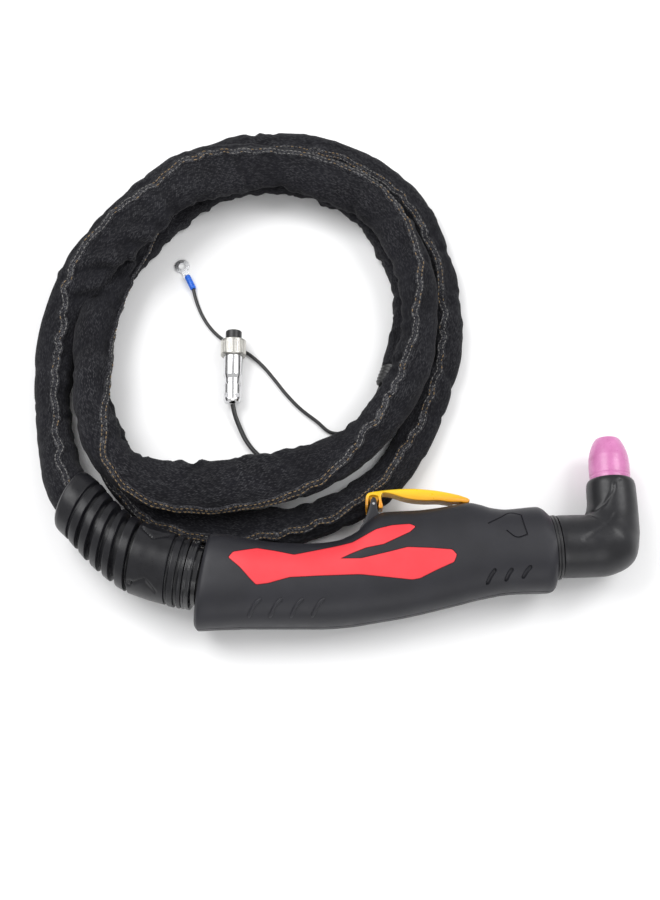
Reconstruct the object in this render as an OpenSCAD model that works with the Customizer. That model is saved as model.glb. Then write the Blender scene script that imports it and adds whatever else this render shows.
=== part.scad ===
// Air plasma hand torch lying on its side, with its cable in a denim cover.
// Torch length runs along X (head at +X), the trigger side faces +Y, +Z is up.
// Origin: centre of the torch's footprint, on the surface that it lies on.

/* [Handle] */
// Thickness of the shell walls
wall = 2.6; // [2.2:0.1:3]
// Height of the parting plane above the handle's middle
seam_z = 2.5; // [1:0.5:4]
// Depth of the recess that holds the soft inlay
inlay_depth = 1; // [0.6:0.1:1.4]
// How far the soft inlay stands proud of the shell
inlay_proud = 0.3; // [0.1:0.1:0.6]
// Diameter of the closing screws
screw_d = 3; // [2.5:0.1:3.5]

/* [Trigger] */
// Width of the lever
lever_w = 11; // [9:0.5:12]
// Diameter of the trigger pin
pin_d = 2; // [1.6:0.1:2.2]
// Radial play of the lever on its pin
pin_play = 0.05; // [0.03:0.01:0.08]
// Diameter of the switch plunger
plunger_d = 4; // [3:0.5:4.5]

/* [Head] */
// Radius of the moulded head at its neck
head_r = 21.7; // [20.5:0.1:22.5]
// Outer radius of the ceramic shield cup
cup_r = 14.2; // [13.6:0.1:14.4]
// Radius of the opening in the front of the cup
cup_mouth_r = 5; // [4.8:0.1:5.6]
// Radius of the gas orifice in the nozzle tip
orifice_r = 0.6; // [0.4:0.1:1]

/* [Strain relief] */
// Thickness of the rubber at the bellows
boot_wall = 4; // [3:0.5:4.5]
// Depth of the bellows grooves
groove = 2; // [1:0.25:2.5]

/* [Plug] */
// Outer radius of the knurled coupling ring
ring_r = 9.3; // [9:0.1:9.5]
// Number of grooves around the coupling ring
knurls = 36; // [24:4:48]
// Radius of the plug's insert
insert_r = 6; // [5.6:0.1:6.2]

/* [Leads] */
// Diameter of the pilot wire
pilot_d = 2.6; // [2:0.1:3]
// Diameter of the trigger wire
lead_d = 3.4; // [3:0.1:3.8]
// Diameter of the bare hose
hose_d = 14; // [13:0.5:14.5]
// Radius of the hole in the ring terminal
eye_r = 2.65; // [2.2:0.05:3.2]

/* [Hidden] */
$fn = 48;

// Where the torch's own zero lies in the row frame
place = [-12.2, 70, 0];
// Height of the handle's middle above the bench
mid_z = 25.3;
head_y = -80;      // axis of the neck
noz_x = 197;       // axis of the nozzle
pivot = [30.3, -50.8];
sw_x = 87;         // axis of the switch
boot_tilt = 10;    // tilt of the strain relief's neck
boot_at = [-88, -101];
plug_tilt = 6;

module bench() { translate(place) children(); }
module torch() { translate(place + [0, 0, mid_z]) children(); }

function mix(a, b, t) = a + (b - a) * t;
function sgnpow(v, e) = (v < 0 ? -1 : 1) * pow(abs(v), e);

// Solid through rings of equal point count, in order along the piece
module loft(rings) {
  n = len(rings); m = len(rings[0]);
  polyhedron(points = [for (r = rings) each r],
    faces = concat([[for (i = [0:m - 1]) i]], [[for (i = [m - 1:-1:0]) (n - 1) * m + i]],
      [for (k = [0:n - 2], i = [0:m - 1]) let (a = k * m + i, b = k * m + (i + 1) % m)
        each [[a, b + m, b], [a, a + m, b + m]]]), convexity = 8);
}

// Handle sections: x, top y, bottom y, half depth, tilt of the section, roundness
shell_st = [
  [-87, -73.5, -136, 22, 8, 2.3], [-84.5, -72, -138.5, 23.6, 8, 2.4], [-77, -72.5, -138, 24.2, 6, 2.5],
  [-66, -74.5, -137.5, 24.7, 4, 2.5], [-54, -76.5, -137, 25, 2, 2.5], [-42, -78.2, -137, 25, 0, 2.5],
  [-30, -79.2, -137, 25, 0, 2.5], [-18, -79.5, -137, 25, 0, 2.5], [-6, -79, -137, 25, 0, 2.5],
  [5, -77.4, -136.5, 25, 0, 2.5], [13, -74.2, -135.8, 25, 0, 2.5], [19, -70.5, -135, 25, 0, 2.5],
  [25, -64.5, -134, 24.8, 0, 2.5], [31, -59.5, -133, 24.6, 0, 2.5], [37, -57, -132, 24.4, 0, 2.5],
  [47, -56.2, -130.3, 24.1, 0, 2.5], [59, -55.6, -127.8, 23.8, 0, 2.5], [70, -54.4, -125.2, 23.5, 0, 2.5],
  [80, -52.8, -122.7, 23.3, 0, 2.5], [88, -51.2, -120.7, 23.1, 0, 2.5], [96, -50, -118.5, 23, 0, 2.5],
  [104, -51.4, -116.5, 23, -1, 2.5], [112, -53.8, -114.7, 23, -2, 2.5], [122, -55, -113.2, 23, -3, 2.5],
  [134, -54, -112.6, 23, -4, 2.5], [145, -53, -112.4, 23, -5, 2.4], [149, -54.2, -111.6, 22.9, -5.5, 2.2],
  [151.5, -56.5, -108.6, 22.7, -5.5, 2], [152.6, -58.2, -105, 22.5, -5.5, 2]];
function shell_ring(s, off) = let (yc = (s[1] + s[2]) / 2, a = (s[1] - s[2]) / 2 - off, b = s[3] - off)
  [for (i = [0:35]) let (t = i * 10, dy = a * sgnpow(cos(t), 2 / s[5]), dz = b * sgnpow(sin(t), 2 / s[5]))
    [s[0] + tan(s[4]) * dy, yc + dy, dz]];
module shell_solid() { loft([for (s = shell_st) shell_ring(s, 0)]); }
module shell_part(off, i0, i1) { loft([for (i = [i0:i1]) shell_ring(shell_st[i], off)]); }
module shell_cavity() { loft([for (i = [2:25]) shell_ring(shell_st[i], wall)]); }
module upper_half() { translate([-120, -160, seam_z]) cube([300, 140, 40]); }
module lower_half() { translate([-120, -160, seam_z - 40]) cube([300, 140, 40]); }

// Outline of the soft inlay, a forked flash
inlay_pts = [[-68, -94], [-65, -90], [-49, -87], [-37, -89], [-24, -92], [-7, -88], [15, -83], [24, -78],
  [31, -74], [42, -71], [54, -70], [58, -72], [54, -76], [46, -80], [36, -85], [24, -87.5], [14, -91.5],
  [7, -95], [21, -95], [37, -91], [52, -87], [68, -87.5], [82, -88.5], [85, -92], [83, -97], [72, -102],
  [60, -108], [55, -109], [38, -107.5], [20, -106], [-8, -107], [-27, -108], [-41, -112], [-49, -113],
  [-53, -109], [-60, -101]];
screw_xy = [[-64, -118], [-30, -127], [30, -123], [112, -104], [128, -64]];

module handle_body() {
  // walls with the inlay recess
  difference() {
    shell_solid();
    difference() {
      for (s = [0, 1]) mirror([0, 0, s]) linear_extrude(height = 40, convexity = 6) offset(delta = 0.2) polygon(inlay_pts);
      shell_part(inlay_depth, 1, 21);
    }
    difference() {
      shell_cavity();
      // cross ribs that hold the tube and the spigot, and the screw posts
      for (x = [78, 115]) translate([x, -150, -40]) cube([2.5, 140, 80]);
      translate([140, -150, -40]) cube([12, 140, 80]);
      for (p = screw_xy) translate([p[0], p[1], -30]) cylinder(r = 4, h = 60);
      for (s = [0, 1]) mirror([0, 0, s]) translate([81, -74, 6.2]) cube([12, 13, 20]);
      for (s = [0, 1]) mirror([0, 0, s]) translate([81, -76.5, 3]) cube([12, 2.5, 20]);
    }
    // clear way for tube, spigot, strain relief neck and hose
    translate([60, head_y, 0]) rotate([0, 90, 0]) cylinder(r = 6.1, h = 75);
    translate([134, head_y, 0]) rotate([0, 90, 0]) cylinder(r = 15.1, h = 30);
    translate([boot_at[0], boot_at[1], 0]) rotate([0, 0, -boot_tilt]) rotate([0, 90, 0])
      translate([0, 0, -8]) cylinder(r = 17.6, h = 24);
    // slot for the front of the lever and the switch below it
    translate([77, -60, -6.3]) cube([22, 16, 12.6]);
    translate([79.8, -74.1, -6.2]) cube([14.4, 16, 12.4]);
    // way for the switch wires
    translate([76, -72, -5.5]) cube([5, 4, 11]);
  }
}
// Fin that carries the trigger pin
module post() {
  difference() {
    translate([0, 0, -6.5]) linear_extrude(height = 13) polygon([[18, -74], [20, -69.5], [22.6, -65],
      [25, -59.5], [26.6, -55], [27.6, -51], [28.4, -48], [29.3, -46.3], [30.6, -45.8], [31.6, -46.6],
      [32.4, -49], [32.9, -52.5], [33.3, -57], [35, -60], [35, -74]]);
    translate([22, -57.5, -3.2]) cube([16, 20, 6.4]);
  }
}
module shell_bores() {
  translate([pivot[0], pivot[1], -20]) cylinder(r = pin_d / 2, h = 40);
}
module handle_shell_upper() {
  color("#2b2b2f") torch() difference() {
    intersection() { union() { handle_body(); post(); } upper_half(); }
    shell_bores();
    for (p = screw_xy) translate([p[0], p[1], -1]) cylinder(r = screw_d / 2 - 0.1, h = 14);
  }
}
module handle_shell_lower() {
  color("#2b2b2f") torch() difference() {
    intersection() { union() { handle_body(); post(); } lower_half(); }
    shell_bores();
    for (p = screw_xy) translate([p[0], p[1], 0]) {
      translate([0, 0, -40]) cylinder(r = screw_d / 2 + 0.2, h = 50);
      translate([0, 0, -45]) cylinder(r = 3.2, h = 33);
    }
  }
}
module inlay(side) {
  difference() {
    intersection() {
      translate([0, 0, side > 0 ? 12 : -40]) linear_extrude(height = 28, convexity = 6) polygon(inlay_pts);
      shell_part(-inlay_proud, 2, 20);
    }
    shell_part(inlay_depth, 1, 21);
  }
}
module grip_inlay_upper() { color("#e0303c") torch() inlay(1); }
module grip_inlay_lower() { color("#e0303c") torch() inlay(-1); }

module shell_screws() {
  color("#8c8c90") torch() for (p = screw_xy) translate([p[0], p[1], 0]) difference() {
    union() {
      translate([0, 0, -13]) cylinder(r = screw_d / 2 - 0.1, h = 24);
      translate([0, 0, -14.2]) cylinder(r = 2.8, h = 2.2);
    }
    translate([-1.8, -0.3, -14.4]) cube([3.6, 0.6, 1.1]);
    translate([-0.3, -1.8, -14.4]) cube([0.6, 3.6, 1.1]);
  }
}

// Side profile of the lever: hooked over the fin, thick belly, thin front
lever_pts = [[25.6, -56], [24.8, -52], [24.7, -48], [25.2, -44.6], [26.6, -42.6], [29, -41.4], [34, -40.5],
  [42, -39.6], [50, -39], [58, -38.8], [66, -39.3], [76, -40.5], [85, -42.3], [92, -44.2], [96, -46],
  [97.2, -47.6], [97, -49], [96, -49.8], [91, -49.6], [83, -49.4], [76, -48.4], [66, -48.4], [58, -47.8],
  [50, -46], [44, -43.9], [39, -42.8], [36.6, -43], [35.9, -44.5], [35.8, -54], [34.4, -54],
  [33.9, -47.5], [33.2, -45.3], [31.5, -44.6], [29, -44.6], [27.4, -45.4], [26.8, -48], [26.4, -52]];
module trigger() {
  color("#f0b800") torch() difference() {
    union() {
      intersection() {
        translate([0, 0, -lever_w / 2]) linear_extrude(height = lever_w) polygon(lever_pts);
        // crowned back
        translate([60, -44, 0]) rotate([0, 90, 0]) translate([0, 0, -40]) scale([1, 1.4, 1]) cylinder(r = 7.6, h = 80);
      }
      // web between the cheeks of the fin
      translate([0, 0, -2.9]) linear_extrude(height = 5.8) polygon([[27.2, -45.5], [28.2, -51.5], [29.2, -52.8],
        [31.4, -52.8], [32.4, -51.5], [34.2, -45.5], [33, -44], [28, -44]]);
    }
    translate([pivot[0], pivot[1], -10]) cylinder(r = pin_d / 2 + pin_play, h = 20);
  }
}
module trigger_pin() { color("#b8b8bc") torch() translate([pivot[0], pivot[1], -6]) cylinder(r = pin_d / 2, h = 12); }

// Return spring around the plunger
module trigger_spring() {
  turns = 5; steps = 12; sides = 6; h = 10.4; r = 3; w = 0.35;
  color("#c8c8cc") torch() translate([sw_x, -61.6, 0]) rotate([-90, 0, 0])
    loft([for (k = [0:turns * steps]) let (t = k * 360 / steps, z = w * 0.9 + (h - 1.8 * w) * k / (turns * steps))
      [for (i = [0:sides - 1]) let (q = -i * 360 / sides) [(r + w * cos(q)) * cos(t), (r + w * cos(q)) * sin(t), z + w * sin(q)]]]);
}
module switch_body() {
  color("#3a3a3a") torch() difference() {
    translate([80, -74, -6]) cube([14, 14, 12]);
    translate([sw_x, -58, 0]) rotate([90, 0, 0]) cylinder(r = plunger_d / 2 + 0.08, h = 13.5);
    translate([sw_x, -58, 0]) rotate([90, 0, 0]) cylinder(r = 4, h = 3.6);
  }
}
module switch_plunger() {
  color("#d8d8d8") torch() translate([sw_x, -50, 0]) rotate([90, 0, 0]) cylinder(r = plunger_d / 2, h = 16.5);
}

// Tube swept through points in the XY plane, half twist free, at height z
function dirs(p) = [for (i = [0:len(p) - 1]) let (a = p[max(i - 1, 0)], b = p[min(i + 1, len(p) - 1)], d = b - a) d / norm(d)];
function tube_rings(p, ra, rb, n) = let (d = dirs(p)) [for (i = [0:len(p) - 1])
  let (w = [-d[i][1], d[i][0], 0] / norm([d[i][0], d[i][1]]), u = cross(d[i], w),
    a = is_list(ra) ? ra[i] : ra, b = is_list(rb) ? rb[i] : rb)
  [for (k = [0:n - 1]) let (t = 360 * k / n + 180 / n) p[i] + w * (a * cos(t)) + u * (b * sin(t))]];
module tube(p, ra, rb, n) { loft(tube_rings(p, ra, rb, n)); }

// Two wires from the switch back through the handle
module switch_wires() {
  color("#202020") torch() for (s = [-1, 1])
    tube([[80, -70, s * 3.5], [75, -70, s * 4], [69, -70, s * 5], [58, -72, s * 8], [40, -79, s * 12], [20, -87, s * 13],
      [-10, -97, s * 12.5], [-40, -103, s * 12], [-70, -104, s * 11.5], [-100, -98.4, s * 11.5]], 0.8, 0.8, 8);
}

// Split ring between shells and head
module neck_collar() {
  color("#1c1c1e") torch() difference() {
    translate([154.9, -80.9, 0]) rotate([0, 0, 5.5]) rotate([0, 90, 0]) translate([0, 0, -2.1]) {
      cylinder(r1 = 22, r2 = 22.4, h = 0.9);
      translate([0, 0, 0.9]) cylinder(r = 22.4, h = 2.4);
      translate([0, 0, 3.3]) cylinder(r1 = 22.4, r2 = 21.8, h = 0.9);
    }
    translate([130, head_y, 0]) rotate([0, 90, 0]) cylinder(r = 15.1, h = 40);
  }
}

// Elbow sections: centre x, centre y, turn, radius
elbow_st = [[157.6, -80.2, 5.5, head_r - 0.3], [159, -80.2, 4.5, head_r], [168, -80, 2, head_r], [176.5, -79.8, 7, head_r],
  [184.8, -79.2, 24, head_r + 0.8], [192, -75.4, 45, head_r + 1.2], [194.9, -66.8, 66, 20.4], [196.3, -58, 82, 18.2],
  [197, -50, 89, 17.4], [197, -42, 90, 17.2], [197, -37, 90, 17], [197, -34.2, 90, 16.4], [197, -33, 90, 15.6]];
function elbow_ring(s, off) = [for (i = [0:31]) let (t = 360 * i / 32, u = (s[3] - off) * cos(t))
  [s[0] - sin(s[2]) * u, s[1] + cos(s[2]) * u, (s[3] - off) * sin(t)]];
module core_outside(g) {
  translate([138, head_y, 0]) rotate([0, 90, 0]) cylinder(r = 9 + g, h = noz_x - 138);
  translate([noz_x, -88 - g, 0]) rotate([-90, 0, 0]) cylinder(r = 10.5 + g, h = 40 + g);
}
module torch_head() {
  color("#1a1a1c") torch() difference() {
    union() {
      loft([for (s = elbow_st) elbow_ring(s, 0)]);
      translate([136, head_y, 0]) rotate([0, 90, 0]) cylinder(r = 15, h = 36);
    }
    core_outside(0);
    translate([noz_x, -48, 0]) rotate([-90, 0, 0]) cylinder(r = cup_r + 0.35, h = 20);
    translate([134, head_y, 0]) rotate([0, 90, 0]) cylinder(r = 9, h = 5);
  }
}
module head_core() {
  color("#c9a24a") torch() difference() {
    union() {
      core_outside(0);
      translate([noz_x, -48, 0]) rotate([-90, 0, 0]) cylinder(r = 10.5, h = 16);
    }
    translate([137, head_y, 0]) rotate([0, 90, 0]) cylinder(r = 6, h = 13);
    translate([140, head_y, 0]) rotate([0, 90, 0]) cylinder(r = 4, h = noz_x - 140);
    translate([noz_x, -84, 0]) rotate([-90, 0, 0]) cylinder(r = 4.2, h = 60);
    translate([noz_x, -38, 0]) rotate([-90, 0, 0]) cylinder(r = 7.2, h = 10);
    translate([noz_x, -44, 0]) rotate([-90, 0, 0]) difference() { cylinder(r = 12, h = 2); cylinder(r = 9.3, h = 2); }
  }
}
module head_o_ring() {
  color("#101010") torch() translate([noz_x, -43, 0]) rotate([-90, 0, 0]) rotate_extrude() translate([10.25, 0]) circle(r = 0.9, $fn = 24);
}
module torch_tube() {
  color("#c08040") torch() translate([70, head_y, 0]) rotate([0, 90, 0]) difference() {
    cylinder(r = 6, h = 80);
    translate([0, 0, -1]) cylinder(r = 4, h = 82);
  }
}
module swirl_ring() {
  color("#d9c9a8") torch() translate([noz_x, -38, 0]) rotate([-90, 0, 0]) difference() {
    cylinder(r = 7.1, h = 14);
    translate([0, 0, -1]) cylinder(r = 4.3, h = 20);
    for (a = [0:60:300]) rotate([0, 0, a]) translate([2.5, 0, 11]) rotate([0, 90, 0]) cylinder(r = 0.5, h = 8, $fn = 16);
  }
}
module electrode() {
  color("#b8703c") torch() translate([noz_x, -70, 0]) rotate([-90, 0, 0]) difference() {
    union() { cylinder(r = 4.1, h = 50); translate([0, 0, 46.5]) cylinder(r = 5.4, h = 5); translate([0, 0, 51.5]) cylinder(r1 = 5.4, r2 = 3.6, h = 5); }
    translate([0, 0, -1]) cylinder(r = 2.2, h = 44);
    translate([0, 0, 53.5]) cylinder(r = 0.9, h = 5);
  }
}
module electrode_emitter() { color("#9aa0a8") torch() translate([noz_x, -16.5, 0]) rotate([-90, 0, 0]) cylinder(r = 0.9, h = 3); }
module nozzle_tip() {
  color("#c47a40") torch() translate([noz_x, 0, 0]) rotate([-90, 0, 0]) rotate_extrude()
    polygon([[orifice_r, -2], [4.4, -2], [4.4, -6], [6, -7.5], [9.6, -11.5], [9.6, -23.6], [6.6, -23.6], [6.6, -11], [3.6, -7.6], [2.4, -6], [orifice_r, -5]]);
}
module shield_cup() {
  color("#d88aa8") torch() translate([noz_x, 0, 0]) rotate([-90, 0, 0]) rotate_extrude()
    polygon([[10.62, -38.5], [cup_r - 0.2, -38.5], [cup_r, -37.5], [cup_r, -20], [cup_r - 0.3, -16], [cup_r - 1.1, -12], [cup_r - 2.4, -8],
      [cup_r - 3.9, -4.6], [cup_r - 5.4, -2.2], [cup_r - 6.2, -1.5], [cup_mouth_r + 0.5, -1.4], [cup_mouth_r, -2.2], [cup_mouth_r, -5.6], [9.8, -11.3],
      [9.8, -24.2], [10.62, -25]]);
}

// Union nut, barb and ferrule that join tube and hose inside the handle
module union_nut() {
  color("#c9a24a") torch() translate([56, head_y, 0]) rotate([0, 90, 0]) difference() {
    cylinder(r = 9.2, h = 16, $fn = 6);
    translate([0, 0, 6]) cylinder(r = 6.05, h = 12);
    translate([0, 0, -1]) cylinder(r = 5, h = 10);
  }
}
module hose_barb() {
  color("#c9a24a") torch() translate([40, head_y, 0]) rotate([0, 90, 0]) difference() {
    union() { cylinder(r = 3.6, h = 30); translate([0, 0, 16]) cylinder(r = 4.95, h = 14); }
    translate([0, 0, -1]) cylinder(r = 2.4, h = 34);
  }
}
module hose_ferrule() {
  color("#b8b8bc") torch() translate([41, head_y, 0]) rotate([0, 90, 0]) difference() {
    cylinder(r = 8, h = 13);
    translate([0, 0, -1]) cylinder(r = 7.2, h = 16);
  }
}
// Hose inside the handle and the strain relief
hose_route = [[54, -80, 0], [40, -80, 0], [34, -80.3, 0], [10, -86, 0], [-15, -94.5, 0], [-42, -100.5, 0], [-68, -102.5, 0],
  [-90, -100.6, 0], [-112, -95.5, 0], [-132, -88.5, 0], [-146, -80.5, 0], [-157, -70.2, 0], [-162.3, -64.8, 0]];
module power_hose() {
  color("#1c1c1e") torch() difference() {
    tube(hose_route, 7, 7, 12);
    translate([40, head_y, 0]) rotate([0, 90, 0]) cylinder(r = 3.6, h = 20);
  }
}

// Strain relief sections: centre x, centre y, tilt, radius, inner radius
boot_st = [[-97.5, -99.3, 10, 23.6], [-99, -99, 10, 24.4], [-100, -98.8, 10, 24.4], [-100.3, -98.7, 10, 22.6], [-102.2, -98.2, 10, 22.6],
  [-102.6, -98.1, 10, 24.5], [-106.6, -97, 10, 24.6], [-107, -96.8, 10, 23], [-108.4, -96.3, 10, 23], [-108.8, -96.2, 10, 24.7],
  [-122, -92, 11, 24.9], [-133, -88, 12, 25], [-133.6, -87.7, 12, 25 - groove], [-135.2, -86.9, 12, 25 - groove], [-135.8, -86.5, 12, 24.9],
  [-141, -83.4, 13, 24.8], [-141.8, -82.8, 13, 24.8 - groove], [-144.6, -80.8, 14, 24.6 - groove], [-145.4, -80.2, 14, 24.5],
  [-149, -77.4, 16, 24.3], [-149.8, -76.8, 16, 24.3 - groove], [-152.2, -74.8, 17, 24.1 - groove], [-153, -74.1, 17, 24],
  [-156.8, -70.6, 19, 23.7], [-157.6, -69.8, 20, 23.7 - groove], [-159.4, -68, 20, 23.5 - groove], [-160.2, -67.2, 21, 23.4],
  [-163.8, -63.2, 23, 23.1], [-164.4, -62.5, 24, 23 - groove], [-165.8, -60.9, 24, 22.9 - groove], [-166.4, -60.2, 25, 22.8],
  [-170, -56.2, 27, 22.6], [-170.6, -55.6, 27, 22.5 - groove / 2], [-171.6, -54.6, 27, 22.5 - groove / 2], [-172.2, -54, 27, 22.5],
  [-179, -48, 26, 22.2], [-181, -46.4, 25, 21.6], [-182, -45.6, 25, 20.2]];
function boot_ring(s, r) = [for (i = [0:23]) let (t = 360 * i / 24, u = r * cos(t))
  [s[0] + sin(s[2]) * u, s[1] + cos(s[2]) * u, r * sin(t)]];
boot_in = [[-98.4, -99.2, 10, 14.6], [-106, -97.2, 10, 15.6], [-122, -92, 11, 19], [-134, -87.5, 12, 23 - boot_wall], [-146, -79.8, 14, 22.4 - boot_wall],
  [-157, -70.5, 19, 21.6 - boot_wall], [-165, -61.8, 24, 20.4 - boot_wall], [-172, -54.2, 27, 14.9], [-183, -44.8, 25, 14.4]];
module strain_boot() {
  color("#1e1e20") torch() difference() {
    union() {
      loft([for (k = [len(boot_st) - 1:-1:0]) boot_ring(boot_st[k], boot_st[k][3])]);
      translate([boot_at[0], boot_at[1], 0]) rotate([0, 0, -boot_tilt]) rotate([0, 90, 0]) translate([0, 0, -14]) cylinder(r = 17.5, h = 23);
    }
    loft([for (k = [len(boot_in) - 1:-1:0]) boot_ring(boot_in[k], boot_in[k][3])]);
    translate([boot_at[0], boot_at[1], 0]) rotate([0, 0, -boot_tilt]) rotate([0, 90, 0]) translate([0, 0, -12]) cylinder(r = 13, h = 40);
  }
}
module boot_collar() {
  color("#2a2a2c") torch() translate([boot_at[0], boot_at[1], 0]) rotate([0, 0, -boot_tilt]) rotate([0, 90, 0]) translate([0, 0, -9.2])
    difference() {
      union() { cylinder(r1 = 23.4, r2 = 24.2, h = 0.8); translate([0, 0, 0.8]) cylinder(r = 24.2, h = 4.2); translate([0, 0, 5]) cylinder(r1 = 24.2, r2 = 23.4, h = 0.8); }
      translate([0, 0, -1]) cylinder(r = 17.55, h = 8);
    }
}

// Route of the denim cover: x, y, z, half width, half height
cover = [[-163, -64, 25, 14, 13], [-173, -53, 25, 14.5, 13.5], [-181, -43, 24, 15, 14], [-188, -30, 21, 15, 13.5], [-195, -11, 16, 13.5, 11.5], [-201, 14, 12.5, 13, 11],
  [-204, 45, 11.5, 13, 10.5], [-204, 80, 13, 13, 10], [-196, 111, 22, 13, 9], [-180, 139, 36, 13.5, 8.2], [-160, 162, 41, 14.5, 8], [-138, 185, 40.5, 16, 8],
  [-110, 208, 35.5, 17.5, 8], [-74, 220, 29, 18.5, 8.4], [-37, 221, 27.5, 18, 8.4], [-3, 211, 27.5, 18, 8.4], [28, 194, 26.5, 16.5, 8.4], [50, 166, 26.5, 14.5, 8.6],
  [63, 133, 26.5, 14, 8.6], [65, 95, 26.5, 14, 8.6], [60, 60, 26.5, 14, 8.6], [48, 29, 26.5, 15, 8.6], [27, 2, 27, 15, 8.6], [-6, -21, 28.5, 17, 8.6],
  [-45, -32, 29.5, 19, 8.6], [-85, -38, 29.5, 18.5, 8.6], [-123, -35, 28, 16.5, 8.6], [-153, -16, 26.5, 15, 8.6], [-169, 16, 26.5, 14, 8.6], [-173, 52, 26, 14, 8.4],
  [-172, 88, 25.5, 13.5, 8], [-165, 120, 24.5, 13, 8], [-153, 149, 24, 13.5, 7.8], [-139, 184, 22.5, 13.5, 7.8], [-115, 219, 19.5, 12.5, 8], [-79, 243, 15.5, 12.5, 8.2],
  [-39, 249, 11.5, 13, 8.5], [0, 244, 9.5, 13, 8.5], [36, 225, 9, 13, 8.5], [64, 194, 9, 12.5, 8.5], [80, 156, 9, 12.5, 8.5], [86, 116, 9, 12.5, 8.5],
  [85, 76, 9, 12.5, 8.5], [75, 39, 9, 13, 8.5], [59, 2, 9, 13.5, 8.5], [33, -31, 9, 13, 8.5], [-4, -54, 9, 13, 8.5], [-45, -61, 9, 13, 8.5],
  [-85, -58, 9, 13, 8.5], [-118, -44, 9, 13, 8.2], [-146, -20, 8.5, 13, 7.8], [-165, 10, 8.2, 12, 7.5], [-175, 47, 8, 12, 7.4], [-174, 86, 7.8, 12, 7.2],
  [-166, 124, 7.8, 10.8, 7.2], [-147, 158, 7.8, 10.6, 7.2], [-120, 191, 7.8, 10.5, 7.2], [-83, 216, 8, 10.3, 7.4], [-42, 222, 8.4, 10.8, 7.8], [-3, 212, 8.6, 11.2, 8],
  [29, 191, 8.6, 11.2, 8], [49, 157, 8.6, 11.2, 8], [60, 122, 8.6, 11.2, 8], [56, 86, 8.6, 11.2, 8], [50, 60, 8.6, 12, 7.8]];
module cable_sleeve() {
  color("#26262a") bench() tube([for (c = cover) [c[0], c[1], c[2]]], [for (c = cover) c[3]], [for (c = cover) c[4]], 12);
}
module sleeve_end_band() {
  color("#151515") bench() tube([[50, 60, 8.6], [47.5, 52, 8.4], [45.8, 46, 8.2]], [11.8, 12, 12.4], [7.8, 7.8, 7.7], 16);
}
tail_route = [[50, 44.8, 7.6], [43.5, 30, 7.2], [33.5, 14, 7.2], [18.5, 0, 7.2], [0, -12, 7.2], [-20, -21, 7.2], [-38, -26.5, 7.8], [-50, -29.2, 9], [-57, -30.6, 9.8], [-64, -31.5, 9.8]];
module hose_tail() {
  color("#1c1c1e") bench() difference() {
    tube(tail_route, hose_d / 2, hose_d / 2, 12);
    tail_end() translate([0, 0, -12]) cylinder(r = 3.6, h = 16);
  }
}
// Frame at the end of the hose, +Z pointing out of the hose
module tail_end() { translate([-64, -31.5, 9.8]) rotate([0, 0, 187]) rotate([0, 90, 0]) children(); }
module tail_stem() {
  color("#c9a24a") bench() tail_end() rotate_extrude() polygon([[2.2, -12], [3.4, -12], [3.6, -10], [3.6, 0], [5, 0], [5, 8.2], [6, 8.2],
    [6, 10.2], [3.2, 10.2], [2.2, 9]]);
}
module tail_ferrule() {
  color("#b8b8bc") bench() tail_end() translate([0, 0, -11.5]) difference() { cylinder(r = 8, h = 11.3); translate([0, 0, -1]) cylinder(r = 7.2, h = 14); }
}
module gas_nut() {
  color("#c9a24a") bench() tail_end() difference() {
    translate([0, 0, 3]) rotate([0, 0, 30]) cylinder(r = 9.6, h = 15, $fn = 6);
    translate([0, 0, 2]) cylinder(r = 5.1, h = 10);
    translate([0, 0, 8]) cylinder(r = 7.1, h = 2.5); // relief around the stem's flange
    translate([0, 0, 10]) cylinder(r = 6.2, h = 20); // thread
  }
}

// Trigger wire from the cover's end to the plug
lead_route = [[40.4, 47.5, 3.4], [34, 32, 1.9], [24, 17.6, 1.9], [8, 5, 1.9], [-12, -5, 1.9], [-30, -11, 1.9], [-44, -10, 1.9], [-54, -3, 1.9],
  [-61, 6, 2], [-66, 16, 2.8], [-70, 26.2, 4.8], [-71.7, 33.6, 6.5]];
module trigger_lead() { color("#18181a") bench() tube(lead_route, lead_d / 2, lead_d / 2, 8); }
module plug() { translate([-71.8, 34, 7.4]) rotate([-90 + plug_tilt, 0, 0]) children(); }
module up(h) { translate([0, 0, h]) children(); }
module plug_clamp_nut() {
  color("#c0c0c4") bench() plug() difference() {
    union() { up(0.4) cylinder(r1 = 5.8, r2 = 6.6, h = 1.6); up(2) cylinder(r = 6.6, h = 11.5); }
    up(-1) cylinder(r = 2.4, h = 20);
    up(6) cylinder(r = 4.6, h = 9);
    for (s = [-1, 1]) translate([s * 3.9, 8, 4.6]) rotate([90, 0, 0]) { cylinder(r = 0.95, h = 16, $fn = 24); up(12.9) cylinder(r = 1.8, h = 4, $fn = 24); }
  }
}
module plug_screws() {
  color("#909094") bench() plug() for (s = [-1, 1]) translate([s * 3.9, 0, 4.6]) rotate([90, 0, 0]) difference() {
    union() { up(-4.4) cylinder(r = 0.95, h = 9.4, $fn = 24); up(5) cylinder(r = 1.6, h = 1, $fn = 24); }
    translate([-2, -0.2, 5.6]) cube([4, 0.4, 1]);
  }
}
module plug_shell() {
  color("#d4d4d8") bench() plug() rotate_extrude() polygon([[4.4, 13.6], [5.6, 13.6], [5.6, 15], [6, 15], [6, 18], [7, 21],
    [7, 38], [7.6, 38], [7.6, 39.6], [5.4, 39.6], [5.4, 24], [4.4, 24]]);
}
module plug_coupling_ring() {
  color("#dcdce0") bench() plug() difference() {
    rotate_extrude() polygon([[7.1, 36], [ring_r - 0.5, 36], [ring_r, 36.6], [ring_r, 47.8], [ring_r - 0.5, 48.4], [7.8, 48.4], [7.8, 37.9], [7.1, 37.9]]);
    for (a = [0:knurls - 1]) rotate([0, 0, a * 360 / knurls]) translate([ring_r + 0.25, 0, 37.4]) cylinder(r = 0.5, h = 9.6, $fn = 16);
  }
}
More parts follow.
